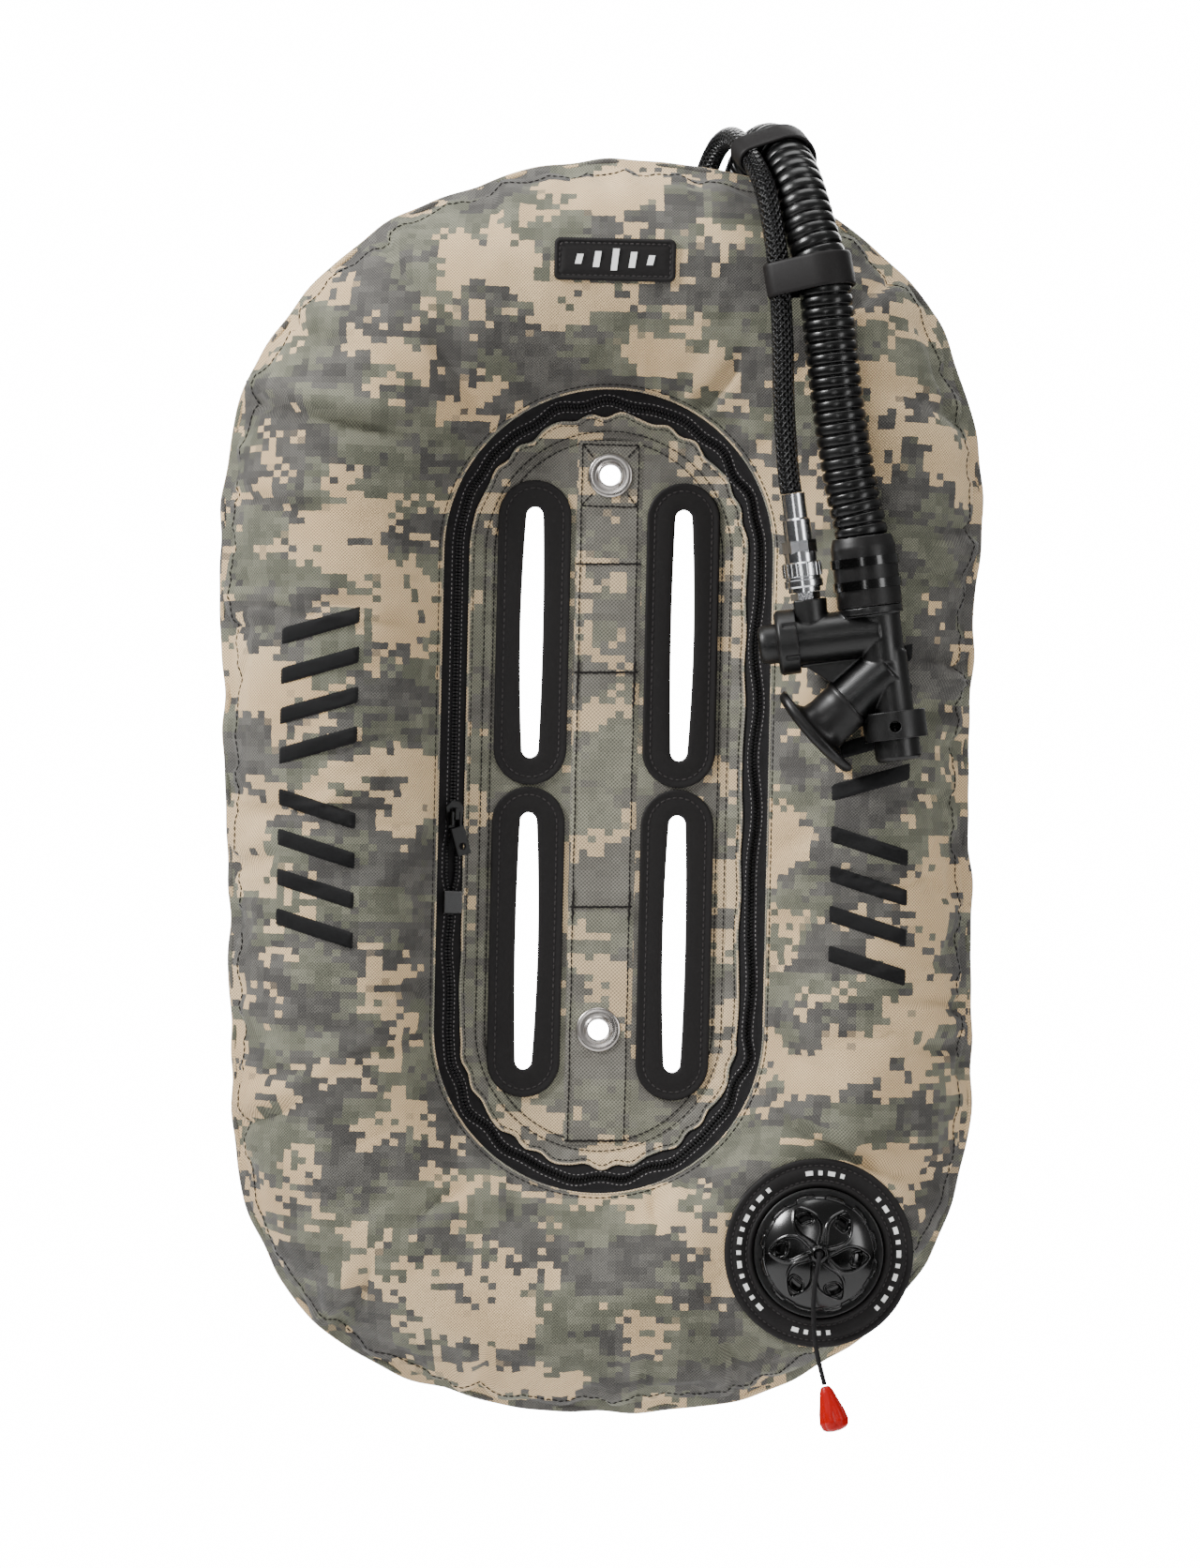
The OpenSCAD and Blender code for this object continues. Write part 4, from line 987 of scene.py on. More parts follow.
def ripple_cloth(obj, weight, seam_near, phase):
    """Broad soft unevenness that a filled air cell gives its cover, its folds and its seam puckers."""
    co = read_vectors(obj.data.vertices, "co")
    x, z = co[:, 0] / MM, co[:, 2] / MM
    lift = (0.9 * np.sin(x / 31 + 1.3 * np.sin(z / 57)) * np.sin(z / 43 + 0.6)
            + 0.6 * np.sin(x / 17 - z / 23 + 2.0 * np.sin(z / 71)) * np.sin(z / 29 + x / 61))
    normal = read_vectors(obj.data.vertices, "normal")
    facing = np.where(co[:, 1:2] * normal[:, 1:2] >= 0, 1.0, -1.0)
    folds = np.where(co[:, 1] < 0, fold_lift(x, z, FRONT_FOLDS), fold_lift(x, z, BACK_FOLDS))
    pucker = seam_near * waves(phase, [(53, 0.9, 0.2), (71, 0.7, 1.4), (97, 0.45, 3.3)])
    co += normal * facing * ((lift * 0.8 + 2.2 * folds + 0.95 * pucker) * weight * MM)[:, None]
    obj.data.vertices.foreach_set("co", co.ravel())
    obj.data.update()


def make_air_cell():
    """The bladder, a little slack inside its shell."""
    ring = Ring(48, 16)
    shares = np.linspace(0.04, 0.96, 14)
    d = 3 + (ring.span[:, None] - 5) * shares[None, :]
    place = ring.across(d)
    slack = 4.5 * ease((d - 6) / 20) + 2.2
    front = np.stack([place[..., 0], -np.maximum(0.96 * ring.front(d) - slack, 0.2), place[..., 1]], -1)
    back = np.stack([place[..., 0], np.maximum(0.96 * ring.back(d) - slack, 0.6), place[..., 1]], -1)[:, ::-1]
    points = np.concatenate([front, back], 1)
    cell = fix_normals(add_mesh("air_cell", points.reshape(-1, 3) * MM,
                                grid_faces(ring.count, points.shape[1], True, True), BLADDER_CLOTH))
    stands_for(cell, "bladder_fabric", "bladder")


# ---------------------------------------------------------------- zip (distances from the panel seam, mm)
TEETH_MID = 13.0
SLIDER_Z, BOX_Z = -33.0, -77.0


def calm_left(ring):
    """0 beside the zip's slider and box, where the zip runs straight, and 1 elsewhere."""
    z = ring.inner[:, 1]
    left = ring.inner[:, 0] < -55
    return np.where(left, ease((np.abs(z - 15) - 95) / 30), 1.0)


def teeth_line(ring):
    return TEETH_MID + calm_left(ring) * waves(ring.phase, [(11, 0.5, 0.6), (23, 0.9, 2.2), (31, 0.6, 5.0)])


def inner_edge(ring):
    curved = 0.35 + 0.65 * np.abs(np.sin(ring.angle))
    ripple = waves(ring.phase, [(19, 0.7, 1.0), (33, 1.0, 0.2), (47, 0.5, 3.0)])
    return 6.6 + curved * calm_left(ring) * ripple


def zip_opening(z, left):
    """Half gap between the two rows of teeth below the slider."""
    return np.where(left, 1.7 * ease((SLIDER_Z - 5 - z) / 14) * ease((z - BOX_Z - 4) / 10), 0.0)


def on_front(ring, d, lift):
    place = ring.across(d)
    return np.stack([place[..., 0], -(ring.front(d) + lift), place[..., 1]], -1)


def line_on_front(ring, d, lift):
    """One line round the wing, at distance d from the seam and lift above the cloth."""
    return on_front(ring, d[:, None], np.full((ring.count, 1), lift))[:, 0]


def strip_round(name, points, material):
    """A closed band from equal closed rows of points in mm."""
    faces = grid_faces(*points.shape[:2], True, True)
    return fix_normals(add_mesh(name, points.reshape(-1, 3) * MM, faces, material))


def make_zip_tapes():
    ring = Ring(*ZIP_RINGS)
    line = teeth_line(ring)
    left = ring.inner[:, 0] < -55
    gap = zip_opening(ring.inner[:, 1], left) + 0.25
    rise = np.array([0.1, 0.5, 0.75, 1.1, 0.9])
    for name, start, end, node in (
            ("zip_tape_outer_cloth", line + gap, np.full(ring.count, ZIP_REACH + 1.2), "zip_tape_outer"),
            ("zip_tape_inner_cloth", line - gap, inner_edge(ring) - 1.0, "zip_tape_inner")):
        t = np.linspace(1, 0, len(rise))
        d = start[:, None] + (end - start)[:, None] * t[None, :]
        top = on_front(ring, d, rise[None, :] + 0 * d)
        under = on_front(ring, d, rise[None, :] + 0 * d - 0.5)
        points = np.concatenate([top, under[:, ::-1]], 1)
        tape = strip_round(name, points, TAPE)
        stands_for(tape, "black_textile", node)
    t = np.linspace(-1, 1, 5)
    d = line[:, None] + 4.6 * t[None, :]
    points = np.concatenate([on_front(ring, d, 0 * d - 0.45), on_front(ring, d, 0 * d - 0.75)[:, ::-1]], 1)
    flap = strip_round("zip_under_flap", points, TAPE)
    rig.slot(flap, "black_textile")


# One tooth, as shares of its size along, across and up: a foot, a shoulder and a smaller top.
TOOTH = np.array([(-0.5, -0.5, 0), (0.5, -0.5, 0), (0.5, 0.5, 0), (-0.5, 0.5, 0),
                  (-0.42, -0.42, 0.7), (0.42, -0.42, 0.7), (0.42, 0.42, 0.7), (-0.42, 0.42, 0.7),
                  (-0.24, -0.3, 1), (0.24, -0.3, 1), (0.24, 0.3, 1), (-0.24, 0.3, 1)])
TOOTH_FACES = [(0, 1, 5, 4), (1, 2, 6, 5), (2, 3, 7, 6), (3, 0, 4, 7), (4, 5, 9, 8), (5, 6, 10, 9),
               (6, 7, 11, 10), (7, 4, 8, 11), (8, 9, 10, 11), (3, 2, 1, 0)]


def set_along(line, normals, pitch, size, shift=0.0):
    """Small moulded blocks along a closed line; size is (along, across, high) in mm."""
    ahead = np.roll(line, -1, 0) - line
    run = np.concatenate([[0], np.cumsum(np.linalg.norm(ahead, axis=1))])
    loop = np.concatenate([line, line[:1]])
    loop_normals = np.concatenate([normals, normals[:1]])
    count = int(round(run[-1] / pitch))
    at = (np.arange(count) + shift) * run[-1] / count
    spot = np.stack([np.interp(at, run, loop[:, k]) for k in range(3)], 1)
    near = np.stack([np.interp(at + 0.4, run, loop[:, k]) for k in range(3)], 1)
    up = np.stack([np.interp(at, run, loop_normals[:, k]) for k in range(3)], 1)
    up = unit(up)
    fore = unit(near - spot)
    side = np.cross(up, fore)
    block = TOOTH * size
    points = (spot[:, None, :] + block[None, :, :1] * fore[:, None, :]
              + block[None, :, 1:2] * side[:, None, :] + block[None, :, 2:] * up[:, None, :])
    faces = [tuple(i + k * len(TOOTH) for i in f) for k in range(count) for f in TOOTH_FACES]
    return points.reshape(-1, 3), faces


def make_zip_teeth():
    ring = Ring(*ZIP_RINGS)
    line = teeth_line(ring)
    left = ring.inner[:, 0] < -55
    gap = zip_opening(ring.inner[:, 1], left)
    tilt = math.atan(ZIP_SLOPE)
    normals = np.stack([-ring.out[:, 0] * math.sin(tilt), np.full(ring.count, -math.cos(tilt)),
                        -ring.out[:, 1] * math.sin(tilt)], 1)
    for name, node, side, shift in (("zip_teeth_outer_row", "zip_teeth_outer", 1, 0.0),
                                    ("zip_teeth_inner_row", "zip_teeth_inner", -1, 0.5)):
        d = line + side * (gap + 0.75)
        place = line_on_front(ring, d, 0.9)
        points, faces = set_along(place, normals, 1.7, (0.95, 1.7, 0.9), shift)
        row = add_mesh(name, points * MM, faces, PLASTIC, smooth=False)
        stands_for(row, "gloss_plastic", node)
    parts = []
    for side in (-1, 1):
        place = line_on_front(ring, line + side * (gap + 2.7), 1.05)
        parts.append(stitch_run(place, normals, 2.3, 1.3, 0.26))
    points, faces = merged(parts)
    add_mesh("zip_teeth_stitches", points * MM, faces, ZIP_STITCH)


def tube_rows(ring, d, lift, radius, flat=1.0, sides=8):
    """A thin rolled edge that follows the wing at distance d."""
    turn = turns(sides)
    d_all = d[:, None] + radius * np.cos(turn)[None, :]
    centre = line_on_front(ring, d, lift)[:, 1]
    place = ring.across(d_all)
    y = centre[:, None] - radius * flat * np.sin(turn)[None, :] - (d_all - d[:, None]) * ZIP_SLOPE
    return np.stack([place[..., 0], y, place[..., 1]], -1)


def make_hems():
    """Folded cloth edges on both sides of the zip."""
    ring = Ring(*ZIP_RINGS)
    rolls = []
    for d, lift in ((np.full(ring.count, ZIP_REACH + 0.3), 1.25), (inner_edge(ring), 1.15)):
        rows = tube_rows(ring, d, lift, 0.55, 0.9)
        rolls.append((rows.reshape(-1, 3), grid_faces(ring.count, rows.shape[1], True, True)))
    points, faces = merged(rolls)
    cloth = np.stack([points[:, 0] + 60, points[:, 2] - 35, 0 * points[:, 0]], 1) * MM
    # The hem cloth is the paler camo copy: partly the fold's own colour, partly a painted highlight along the fold.
    hem = fix_normals(add_mesh("zip_hems", points * MM, faces, CAMO_HEM_HIGHLIT, fields={"cloth": cloth}))
    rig.slot(hem, "shell_fabric")


def make_facing():
    """The strip between the zip and the panel seam."""
    ring = Ring(*ZIP_RINGS)
    t = np.linspace(0, 1, 9)
    edge = inner_edge(ring)
    d = -4.5 + (edge + 4.5)[:, None] * t[None, :]
    pucker = waves(ring.phase, [(57, 0.22, 0.4), (83, 0.18, 2.0), (37, 0.2, 1.1)])
    lift = 1.2 + pucker[:, None] * np.sin(np.pi * t)[None, :]
    place = ring.across(d)
    y = -(np.where(d < 0, 2.2, SEAM_H + d * ZIP_SLOPE) * ease((d + 6) / 8) + lift * ease((d + 4) / 4))
    y = np.minimum(y, -2.35)
    points = np.stack([place[..., 0], y, place[..., 1]], -1)
    cloth = np.stack([points[..., 0], points[..., 2], 0 * y], -1) * MM
    strip = add_mesh("zip_facing_cloth", points.reshape(-1, 3) * MM, grid_faces(ring.count, len(t), True),
                     CAMO_PANEL, fields={"cloth": cloth.reshape(-1, 3)})
    stands_for(strip, "shell_fabric", "zip_facing")


# ---------------------------------------------------------------- centre panel (mm)
SLOT_X, SLOT_W, FRAME_W = 37.5, 11.0, 36.8
UPPER_SLOT, LOWER_SLOT = (-3.5, 123.0), (-160.5, -31.0)
UPPER_FRAME, LOWER_FRAME = (-17.0, 136.5), (-174.5, -18.0)
GROMMET_Z = 139.7
PANEL_FACE = 1.5
PANEL_FLAT = (0.126, 0.367)
PANEL_STEP = 2.4
SLOT_MARGIN = 2.2
GROMMET_HOLE_R = 6.3
WEB_HALF, WEB_LOW, WEB_HIGH = 17, -198, 157


def stadium_distance(x, z, half_w, low, high):
    """Signed distance to an upright stadium: negative inside."""
    near = np.clip(z, low + half_w, high - half_w)
    return np.hypot(x, z - near) - half_w


def panel_distance(x, z):
    inside = stadium_distance(x, z, PANEL_R - 0.6, -PANEL_DOWN - PANEL_R + 0.6, PANEL_UP + PANEL_R - 0.6)
    for side in (-1, 1):
        for low, high in (UPPER_SLOT, LOWER_SLOT):
            slot = stadium_distance(x - side * SLOT_X, z, SLOT_W / 2 + SLOT_MARGIN, low - SLOT_MARGIN,
                                    high + SLOT_MARGIN)
            inside = np.maximum(inside, -slot)
    for z0 in (-GROMMET_Z, GROMMET_Z):
        inside = np.maximum(inside, GROMMET_HOLE_R - np.hypot(x, z - z0))
    return inside


def cut_plate(distance, low, high, step):
    """A flat grid trimmed to where distance is negative, with its edge points moved onto the edge."""
    xs = np.arange(low[0], high[0] + step, step)
    zs = np.arange(low[1], high[1] + step, step)
    x, z = np.meshgrid(xs, zs, indexing="ij")
    for _ in range(3):
        away = distance(x, z)
        gx = (distance(x + 0.05, z) - away) / 0.05
        gz = (distance(x, z + 0.05) - away) / 0.05
        move = np.where(np.abs(away) < 0.62 * step, away, 0)
        x, z = x - move * gx, z - move * gz
    keep = distance(x, z) <= 0.05
    quads = grid_faces(len(xs), len(zs))
    flat = keep.ravel()
    quads = quads[flat[quads].all(1)]
    used = np.unique(quads)
    index = np.full(flat.size, -1)
    index[used] = np.arange(len(used))
    return x.ravel()[used], z.ravel()[used], index[quads]


def quilt(x, z):
    """Shallow unevenness of the sewn panel."""
    return 0.16 * np.sin(x / 5.1 + np.sin(z / 9)) * np.sin(z / 7.3) + 0.12 * np.sin(z / 3.7 + x / 11)


def make_panel():
    x, z, quads = cut_plate(panel_distance, (-64, -204), (64, 165), PANEL_STEP)
    count = len(x)
    front = np.stack([x, -(PANEL_FACE + 0.5 + quilt(x, z)), z], 1)
    back = np.stack([x, PANEL_FACE + 0.1 + quilt(x + 7, z), z], 1)
    cloth = np.concatenate([np.stack([x, z, 0 * x], 1), np.stack([-x + 700, z, 0 * x], 1)]) * MM
    faces = np.concatenate([quads[:, ::-1], quads + count])
    panel = add_mesh("panel_cloth", np.concatenate([front, back]) * MM, faces, CAMO_PANEL,
                     fields={"cloth": cloth})
    stands_for(panel, "shell_fabric", "centre_panel")
    area = float(len(quads)) * PANEL_STEP * PANEL_STEP * MM * MM
    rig.sheet(panel, flat=PANEL_FLAT, held="stretched", rests_on=["air_cell"],
             area=min(area, PANEL_FLAT[0] * PANEL_FLAT[1]))


def webbing_distance(x, z):
    box = np.maximum(np.abs(x) - WEB_HALF, np.maximum(WEB_LOW - z, z - WEB_HIGH))
    for z0 in (-GROMMET_Z, GROMMET_Z):
        box = np.maximum(box, GROMMET_HOLE_R - np.hypot(x, z - z0))
    return box


def make_webbing():
    x, z, quads = cut_plate(webbing_distance, (-WEB_HALF, WEB_LOW), (WEB_HALF, WEB_HIGH), 1.7)
    rise = 0.75 * ease((WEB_HALF - np.abs(x)) / 1.4)
    ribs = 0.05 * np.sin(x * TAU / 3.4)
    y = -(PANEL_FACE + 0.35 + rise + ribs + 0.6 * quilt(x, z))
    cloth = np.stack([x + 230, z - 77, 0 * x], 1) * MM
    strip = add_mesh("webbing_strip", np.stack([x, y, z], 1) * MM, quads[:, ::-1], CAMO_COARSE,
                     fields={"cloth": cloth})
    stands_for(strip, "shell_fabric", "centre_webbing")


def slot_line(low, high, count):
    """Points round a strap slot: narrow at its round ends and a little wider at its middle."""
    t = 0.5 - 0.5 * np.cos(np.linspace(0, np.pi, count // 2 + 1))
    z = low + (high - low) * t
    end = 4.2
    to_end = np.minimum(z - low, high - z)
    corner = np.sqrt(np.clip(1 - np.clip((end - to_end) / end, 0, 1) ** 2, 0, 1))
    half = (3.9 + 1.8 * np.sin(np.pi * t) ** 0.8) * corner
    right = np.stack([half, z], 1)
    left = np.stack([-half, z], 1)[::-1]
    return np.concatenate([right[:-1], left[:-1]])


def stadium_line(half_w, low, high, count):
    """Points round an upright stadium, from its right side over the top."""
    straight = high - low - 2 * half_w
    total = TAU * half_w + 2 * straight
    s = np.arange(count) / count * total
    points = np.empty((count, 2))
    for k, run in enumerate(s):
        if run < math.pi * half_w:
            a = run / half_w
            points[k] = (half_w * math.cos(a), high - half_w + half_w * math.sin(a))
        elif run < math.pi * half_w + straight:
            points[k] = (-half_w, high - half_w - (run - math.pi * half_w))
        elif run < TAU * half_w + straight:
            a = math.pi + (run - math.pi * half_w - straight) / half_w
            points[k] = (half_w * math.cos(a), low + half_w + half_w * math.sin(a))
        else:
            points[k] = (half_w, low + half_w + (run - TAU * half_w - straight))
    return points


# Name, side, the spans of its frame and its slot, and how far the slot bows sideways.
SLOT_FRAMES = (("slot_frame_upper_left", -1, UPPER_FRAME, UPPER_SLOT, -0.5),
               ("slot_frame_upper_right", 1, UPPER_FRAME, UPPER_SLOT, 0.5),
               ("slot_frame_lower_left", -1, LOWER_FRAME, LOWER_SLOT, 0.4),
               ("slot_frame_lower_right", 1, LOWER_FRAME, LOWER_SLOT, -0.3))

# Across the rubber, from its outside to the slot: share of the way, and height as a share of its bulge.
FRAME_PROFILE = [(0.0, 0.0), (0.0, 0.70), (0.02, 0.92), (0.06, 1.0), (0.12, 0.96), (0.20, 0.88), (0.26, 0.80),
                 (0.32, 0.80), (0.38, 0.86), (0.80, 0.84), (0.92, 0.80), (0.98, 0.70), (1.0, 0.45),
                 (1.0, -0.62), (0.9, -0.62), (0.8, 0.0)]
FRAME_BULGE = 2.4


def frame_mesh(centre_x, frame_span, slot_span, face, bulge, turn_in, widen=1.0):
    """A moulded rubber ring: rounded rim, stitch groove, flat band and a lip round the slot."""
    count = 300
    inner = slot_line(*slot_span, count)
    inner[:, 0] *= widen
    outward_x = np.sign(inner[:, 0] + 1e-9)
    inner[:, 0] += turn_in * np.sin((inner[:, 1] - slot_span[0]) / (slot_span[1] - slot_span[0]) * math.pi)
    # Each outer point lies where the slot's own point looks outward.
    low, high = frame_span[0] + FRAME_W / 2, frame_span[1] - FRAME_W / 2
    near = np.clip(inner[:, 1], low, high)
    aim = np.where((inner[:, 1] > high) | (inner[:, 1] < low), 1, 0)
    outward = np.stack([np.where(aim, (inner[:, 0]) * 1.2, outward_x),
                        np.where(aim, inner[:, 1] - near, 0)], 1)
    outward /= np.linalg.norm(outward, axis=1)[:, None]
    outer = np.stack([0 * near, near], 1) + outward * FRAME_W / 2
    rows = []
    for share, height in FRAME_PROFILE:
        place = outer + (inner - outer) * share
        y = np.full(count, face * (PANEL_FACE + height * bulge))
        rows.append(np.stack([place[:, 0] + centre_x, y, place[:, 1]], 1))
    points = np.stack(rows, 1)
    return points.reshape(-1, 3), [tuple(f) for f in grid_faces(count, len(rows), True, True)]


def make_slot_frames():
    for name, side, frame_span, slot_span, turn in SLOT_FRAMES:
        points, faces = frame_mesh(side * SLOT_X, frame_span, slot_span, -1, FRAME_BULGE, turn)
        rim = fix_normals(add_mesh(name + "_rubber", points * MM, faces, RUBBER))
        stands_for(rim, "black_rubber", name)
    parts = [frame_mesh(side * SLOT_X, frame_span, (low - 0.5, high + 0.5), 1, 2.0, turn, 1.08)
             for _, side, frame_span, (low, high), turn in SLOT_FRAMES]
    points, faces = merged(parts)
    back = fix_normals(add_mesh("slot_frames_back_rubber", points * MM, faces, RUBBER))
    stands_for(back, "black_rubber", "slot_frames_back")


# ---------------------------------------------------------------- stitching
STITCH_RINGS = ((-0.5, 0.15), (-0.32, 0.85), (0.0, 1.0), (0.32, 0.85), (0.5, 0.15))


def stitch_run(line, lift_dir, pitch, length, radius, closed=True, uneven=0.0):
    """Separate stitches along a line in mm; each one is a small rounded bar."""
    loop = np.concatenate([line, line[:1]]) if closed else line
    normals = np.concatenate([lift_dir, lift_dir[:1]]) if closed else lift_dir
    run = np.concatenate([[0], np.cumsum(np.linalg.norm(np.diff(loop, axis=0), axis=1))])
    count = max(1, int(run[-1] / pitch))
    at = (np.arange(count) + 0.5) * run[-1] / count

    def fetch(s, values):
        return np.stack([np.interp(s, run, values[:, k]) for k in range(3)], 1)

    spot, up = fetch(at, loop), fetch(at, normals)
    fore = unit(fetch(np.minimum(at + 0.5, run[-1]), loop) - fetch(np.maximum(at - 0.5, 0), loop))
    side = unit(np.cross(up, fore))
    turn = turns(6)
    wave = uneven * np.sin(at * 1.7)
    rings = []
    for offset, size in STITCH_RINGS:
        centre = spot + fore * (offset * length) + side * wave[:, None]
        across = np.cos(turn)[None, :, None] * side[:, None, :]
        above = 0.8 * np.sin(turn)[None, :, None] * up[:, None, :]
        rings.append(centre[:, None, :] + radius * size * (across + above))
    points = np.stack(rings, 1)
    block = points.shape[1] * points.shape[2]
    base = [tuple(f) for f in grid_faces(points.shape[1], points.shape[2], wrap_cols=True)]
    faces = [tuple(i + k * block for i in f) for k in range(count) for f in base]
    return points.reshape(-1, 3), faces


def flat_line(points2, y):
    line = np.stack([points2[:, 0], np.full(len(points2), y), points2[:, 1]], 1)
    return line, np.tile((0.0, -1.0, 0.0), (len(line), 1))


def segment(a, b, y, count=12):
    t = np.linspace(0, 1, count)[:, None]
    return flat_line(np.asarray(a) + (np.asarray(b) - np.asarray(a)) * t, y)


def make_panel_stitches():
    parts, on_rubber = [], []
    cloth_y, web_y = -(PANEL_FACE + 0.85), -(PANEL_FACE + 1.35)
    for r, y in ((PANEL_R - 1.2, -3.3), (PANEL_R - 5.6, cloth_y)):
        line, up = flat_line(stadium_line(r, -PANEL_DOWN - r, PANEL_UP + r, 420), y)
        parts.append(stitch_run(line, up, 3.1, 2.8, 0.32))
    for x in (-14.2, 14.2):
        line, up = segment((x, -196), (x, 155), web_y, 60)
        parts.append(stitch_run(line, up, 3.4, 3.2, 0.36, False, 0.12))
    for a, b in (((-14.2, 155), (14.2, 155)), ((-14.2, 124), (14.2, 124)), ((-14.2, 155), (-8.6, 148.5)),
                 ((14.2, 155), (8.6, 148.5)), ((-14.2, 124), (-8.6, 130.5)), ((14.2, 124), (8.6, 130.5))):
        line, up = segment(a, b, web_y)
        parts.append(stitch_run(line, up, 2.6, 2.7, 0.42, False, 0.1))
    for z, reach, size in ((95, 16.5, 0.5), (40.4, 16.0, 0.6), (-77.8, 15.5, 0.55), (-195.6, 15.5, 0.55)):
        line, up = segment((-reach, z - 0.4), (reach, z + 0.4), web_y)
        parts.append(stitch_run(line, up, 2.2, 2.9, size, False, 0.15))
    for x, low, high in ((-14.2, 28, 46), (14.2, 24, 46), (-14.2, -84, -70), (14.2, -84, -70)):
        line, up = segment((x, low), (x + 0.3, high), web_y - 0.15)
        parts.append(stitch_run(line, up, 1.7, 2.6, 0.6, False, 0.2))
    for side in (-1, 1):
        for low, high in (UPPER_FRAME, LOWER_FRAME):
            points2 = stadium_line(FRAME_W / 2 - 4.0, low + 4.0, high - 4.0, 200)
            points2[:, 0] += side * SLOT_X
            line, up = flat_line(points2, -(PANEL_FACE + FRAME_BULGE * 0.86))
            on_rubber.append(stitch_run(line, up, 3.2, 2.3, 0.40))
    points, faces = merged(parts)
    add_mesh("panel_stitches", points * MM, faces, STITCH)
    points, faces = merged(on_rubber)
    add_mesh("slot_frame_stitches", points * MM, faces, STITCH_PALE)


def make_shell_stitches(shell):
    """Topstitch beside the zip and along the perimeter, laid on the finished cloth."""
    ring = Ring(*ZIP_RINGS)
    parts = []
    rows = Ring(*SHELL_RINGS).count
    grid = read_vectors(shell.data.vertices, "co").reshape(rows, -1, 3) / MM
    front_cols = 29
    for col, lift, size in ((1, 0.25, 0.30), (front_cols - 3, 0.35, 0.34)):
        line = grid[:, col]
        ahead = np.roll(line, -1, 0) - np.roll(line, 1, 0)
        inward = grid[:, col - 1] - line
        up = unit(np.cross(ahead, inward))
        up = np.where(up[:, 1:2] > 0, -up, up)
        parts.append(stitch_run(line + up * lift, up, 3.2, 2.7, size))
    d = inner_edge(ring) - 1.9
    place = line_on_front(ring, d, 1.45)
    up = np.tile((0.0, -1.0, 0.0), (ring.count, 1))
    parts.append(stitch_run(place, up, 3.0, 2.5, 0.26))
    points, faces = merged(parts)
    add_mesh("shell_stitches", points * MM, faces, STITCH)


def make_seam_binding():
    """The bound lip that closes the shell round its outside."""
    ring = Ring(*SHELL_RINGS)
    wobble = waves(ring.phase, OUTLINE_WAVES) - 0.7
    turn = turns(12)
    d = (ring.length - 1.9 + wobble)[:, None] + 2.3 * np.cos(turn)[None, :]
    y = 1.75 * np.sin(turn)[None, :] + 0.35 * waves(ring.phase, [(37, 1, 0.4), (71, 0.7, 2)])[:, None]
    place = ring.across(d)
    points = np.stack([place[..., 0], y + 0 * d, place[..., 1]], -1)
    run = np.linspace(0, 1720, ring.count)
    cloth = np.stack([np.repeat(run[:, None], 12, 1), 2.3 * turn[None, :] + 0 * d + 500, 0 * d], -1) * MM
    faces = grid_faces(ring.count, len(turn), True, True)
    binding = fix_normals(add_mesh("seam_binding", points.reshape(-1, 3) * MM, faces, CAMO,
                                   fields={"cloth": cloth.reshape(-1, 3)}))
    stands_for(binding, "shell_fabric", "perimeter_seam")


# ---------------------------------------------------------------- sewn-on trim
def surface_reader(shell):
    """Returns a function that gives the front of the shell at x, z, in mm."""
    tree = BVHTree.FromObject(shell, bpy.context.evaluated_depsgraph_get())

    def read(x, z):
        hit = tree.ray_cast(Vector((x * MM, -0.2, z * MM)), Vector((0, 1, 0)))
        return hit[0].y / MM if hit[0] else -DEPTH
    return read


def stitched_shape(read, corners, thickness, rows=26, cols=9):
    """A raised patch of satin stitch that fills a four-cornered shape and follows the cloth."""
    a, b, c, e = (np.asarray(p, float) for p in corners)
    s = np.linspace(0, 1, rows)[:, None, None]
    t = np.linspace(0, 1, cols)[None, :, None]
    flat = (1 - s) * ((1 - t) * a + t * e) + s * ((1 - t) * b + t * c)
    base = np.array([[read(x, z) for x, z in row] for row in flat])
    crown = np.sqrt(np.clip(1 - (2 * t[..., 0] - 1) ** 2, 0, 1)) ** 0.7
    ends = np.clip(np.minimum(s[..., 0], 1 - s[..., 0]) * rows / 1.4, 0, 1)
    y = base - thickness * crown * ends - 0.05 + 0.5 * (crown * ends < 0.02)
    points = np.stack([flat[..., 0], y, flat[..., 1]], -1)
    run = np.linalg.norm(b - a) * s[..., 0] + 0 * t[..., 0]
    thread = np.stack([run, 0 * run, 0 * run], -1) * MM
    return points.reshape(-1, 3), [tuple(f) for f in grid_faces(rows, cols)], thread.reshape(-1, 3)


def make_embroidery(read):
    motif_w, rise, bar_h, pitch = 40.0, 12.0, 9.0, 20.0
    for name, node, centre_x, centre_z in (("embroidery_left_motif", "embroidery_left", -143.5, -15.5),
                                           ("embroidery_right_motif", "embroidery_right", 134.0, -28.0)):
        parts, threads = [], []
        for k in range(4):
            for way in (-1, 1):
                z0 = centre_z + way * (10 + k * pitch) - bar_h / 2
                z1 = z0 + way * rise
                corners = [(centre_x - motif_w / 2, z0), (centre_x + motif_w / 2, z1),
                           (centre_x + motif_w / 2, z1 + bar_h), (centre_x - motif_w / 2, z0 + bar_h)]
                points, faces, thread = stitched_shape(read, corners, 1.3)
                parts.append((points, faces))
                threads.append(thread)
        points, faces = merged(parts)
        motif = add_mesh(name, points * MM, faces, EMBROIDERY, fields={"thread": np.concatenate(threads)})
        stands_for(motif, "black_textile", node)


def rounded_rect(w, h, r, count=20):
    points = []
    for x, z, start in ((1, 1, 0), (-1, 1, 90), (-1, -1, 180), (1, -1, 270)):
        for k in range(count):
            a = math.radians(start + 90 * k / (count - 1))
            points.append((x * (w / 2 - r) + r * math.cos(a), z * (h / 2 - r) + r * math.sin(a)))
    return np.array(points)


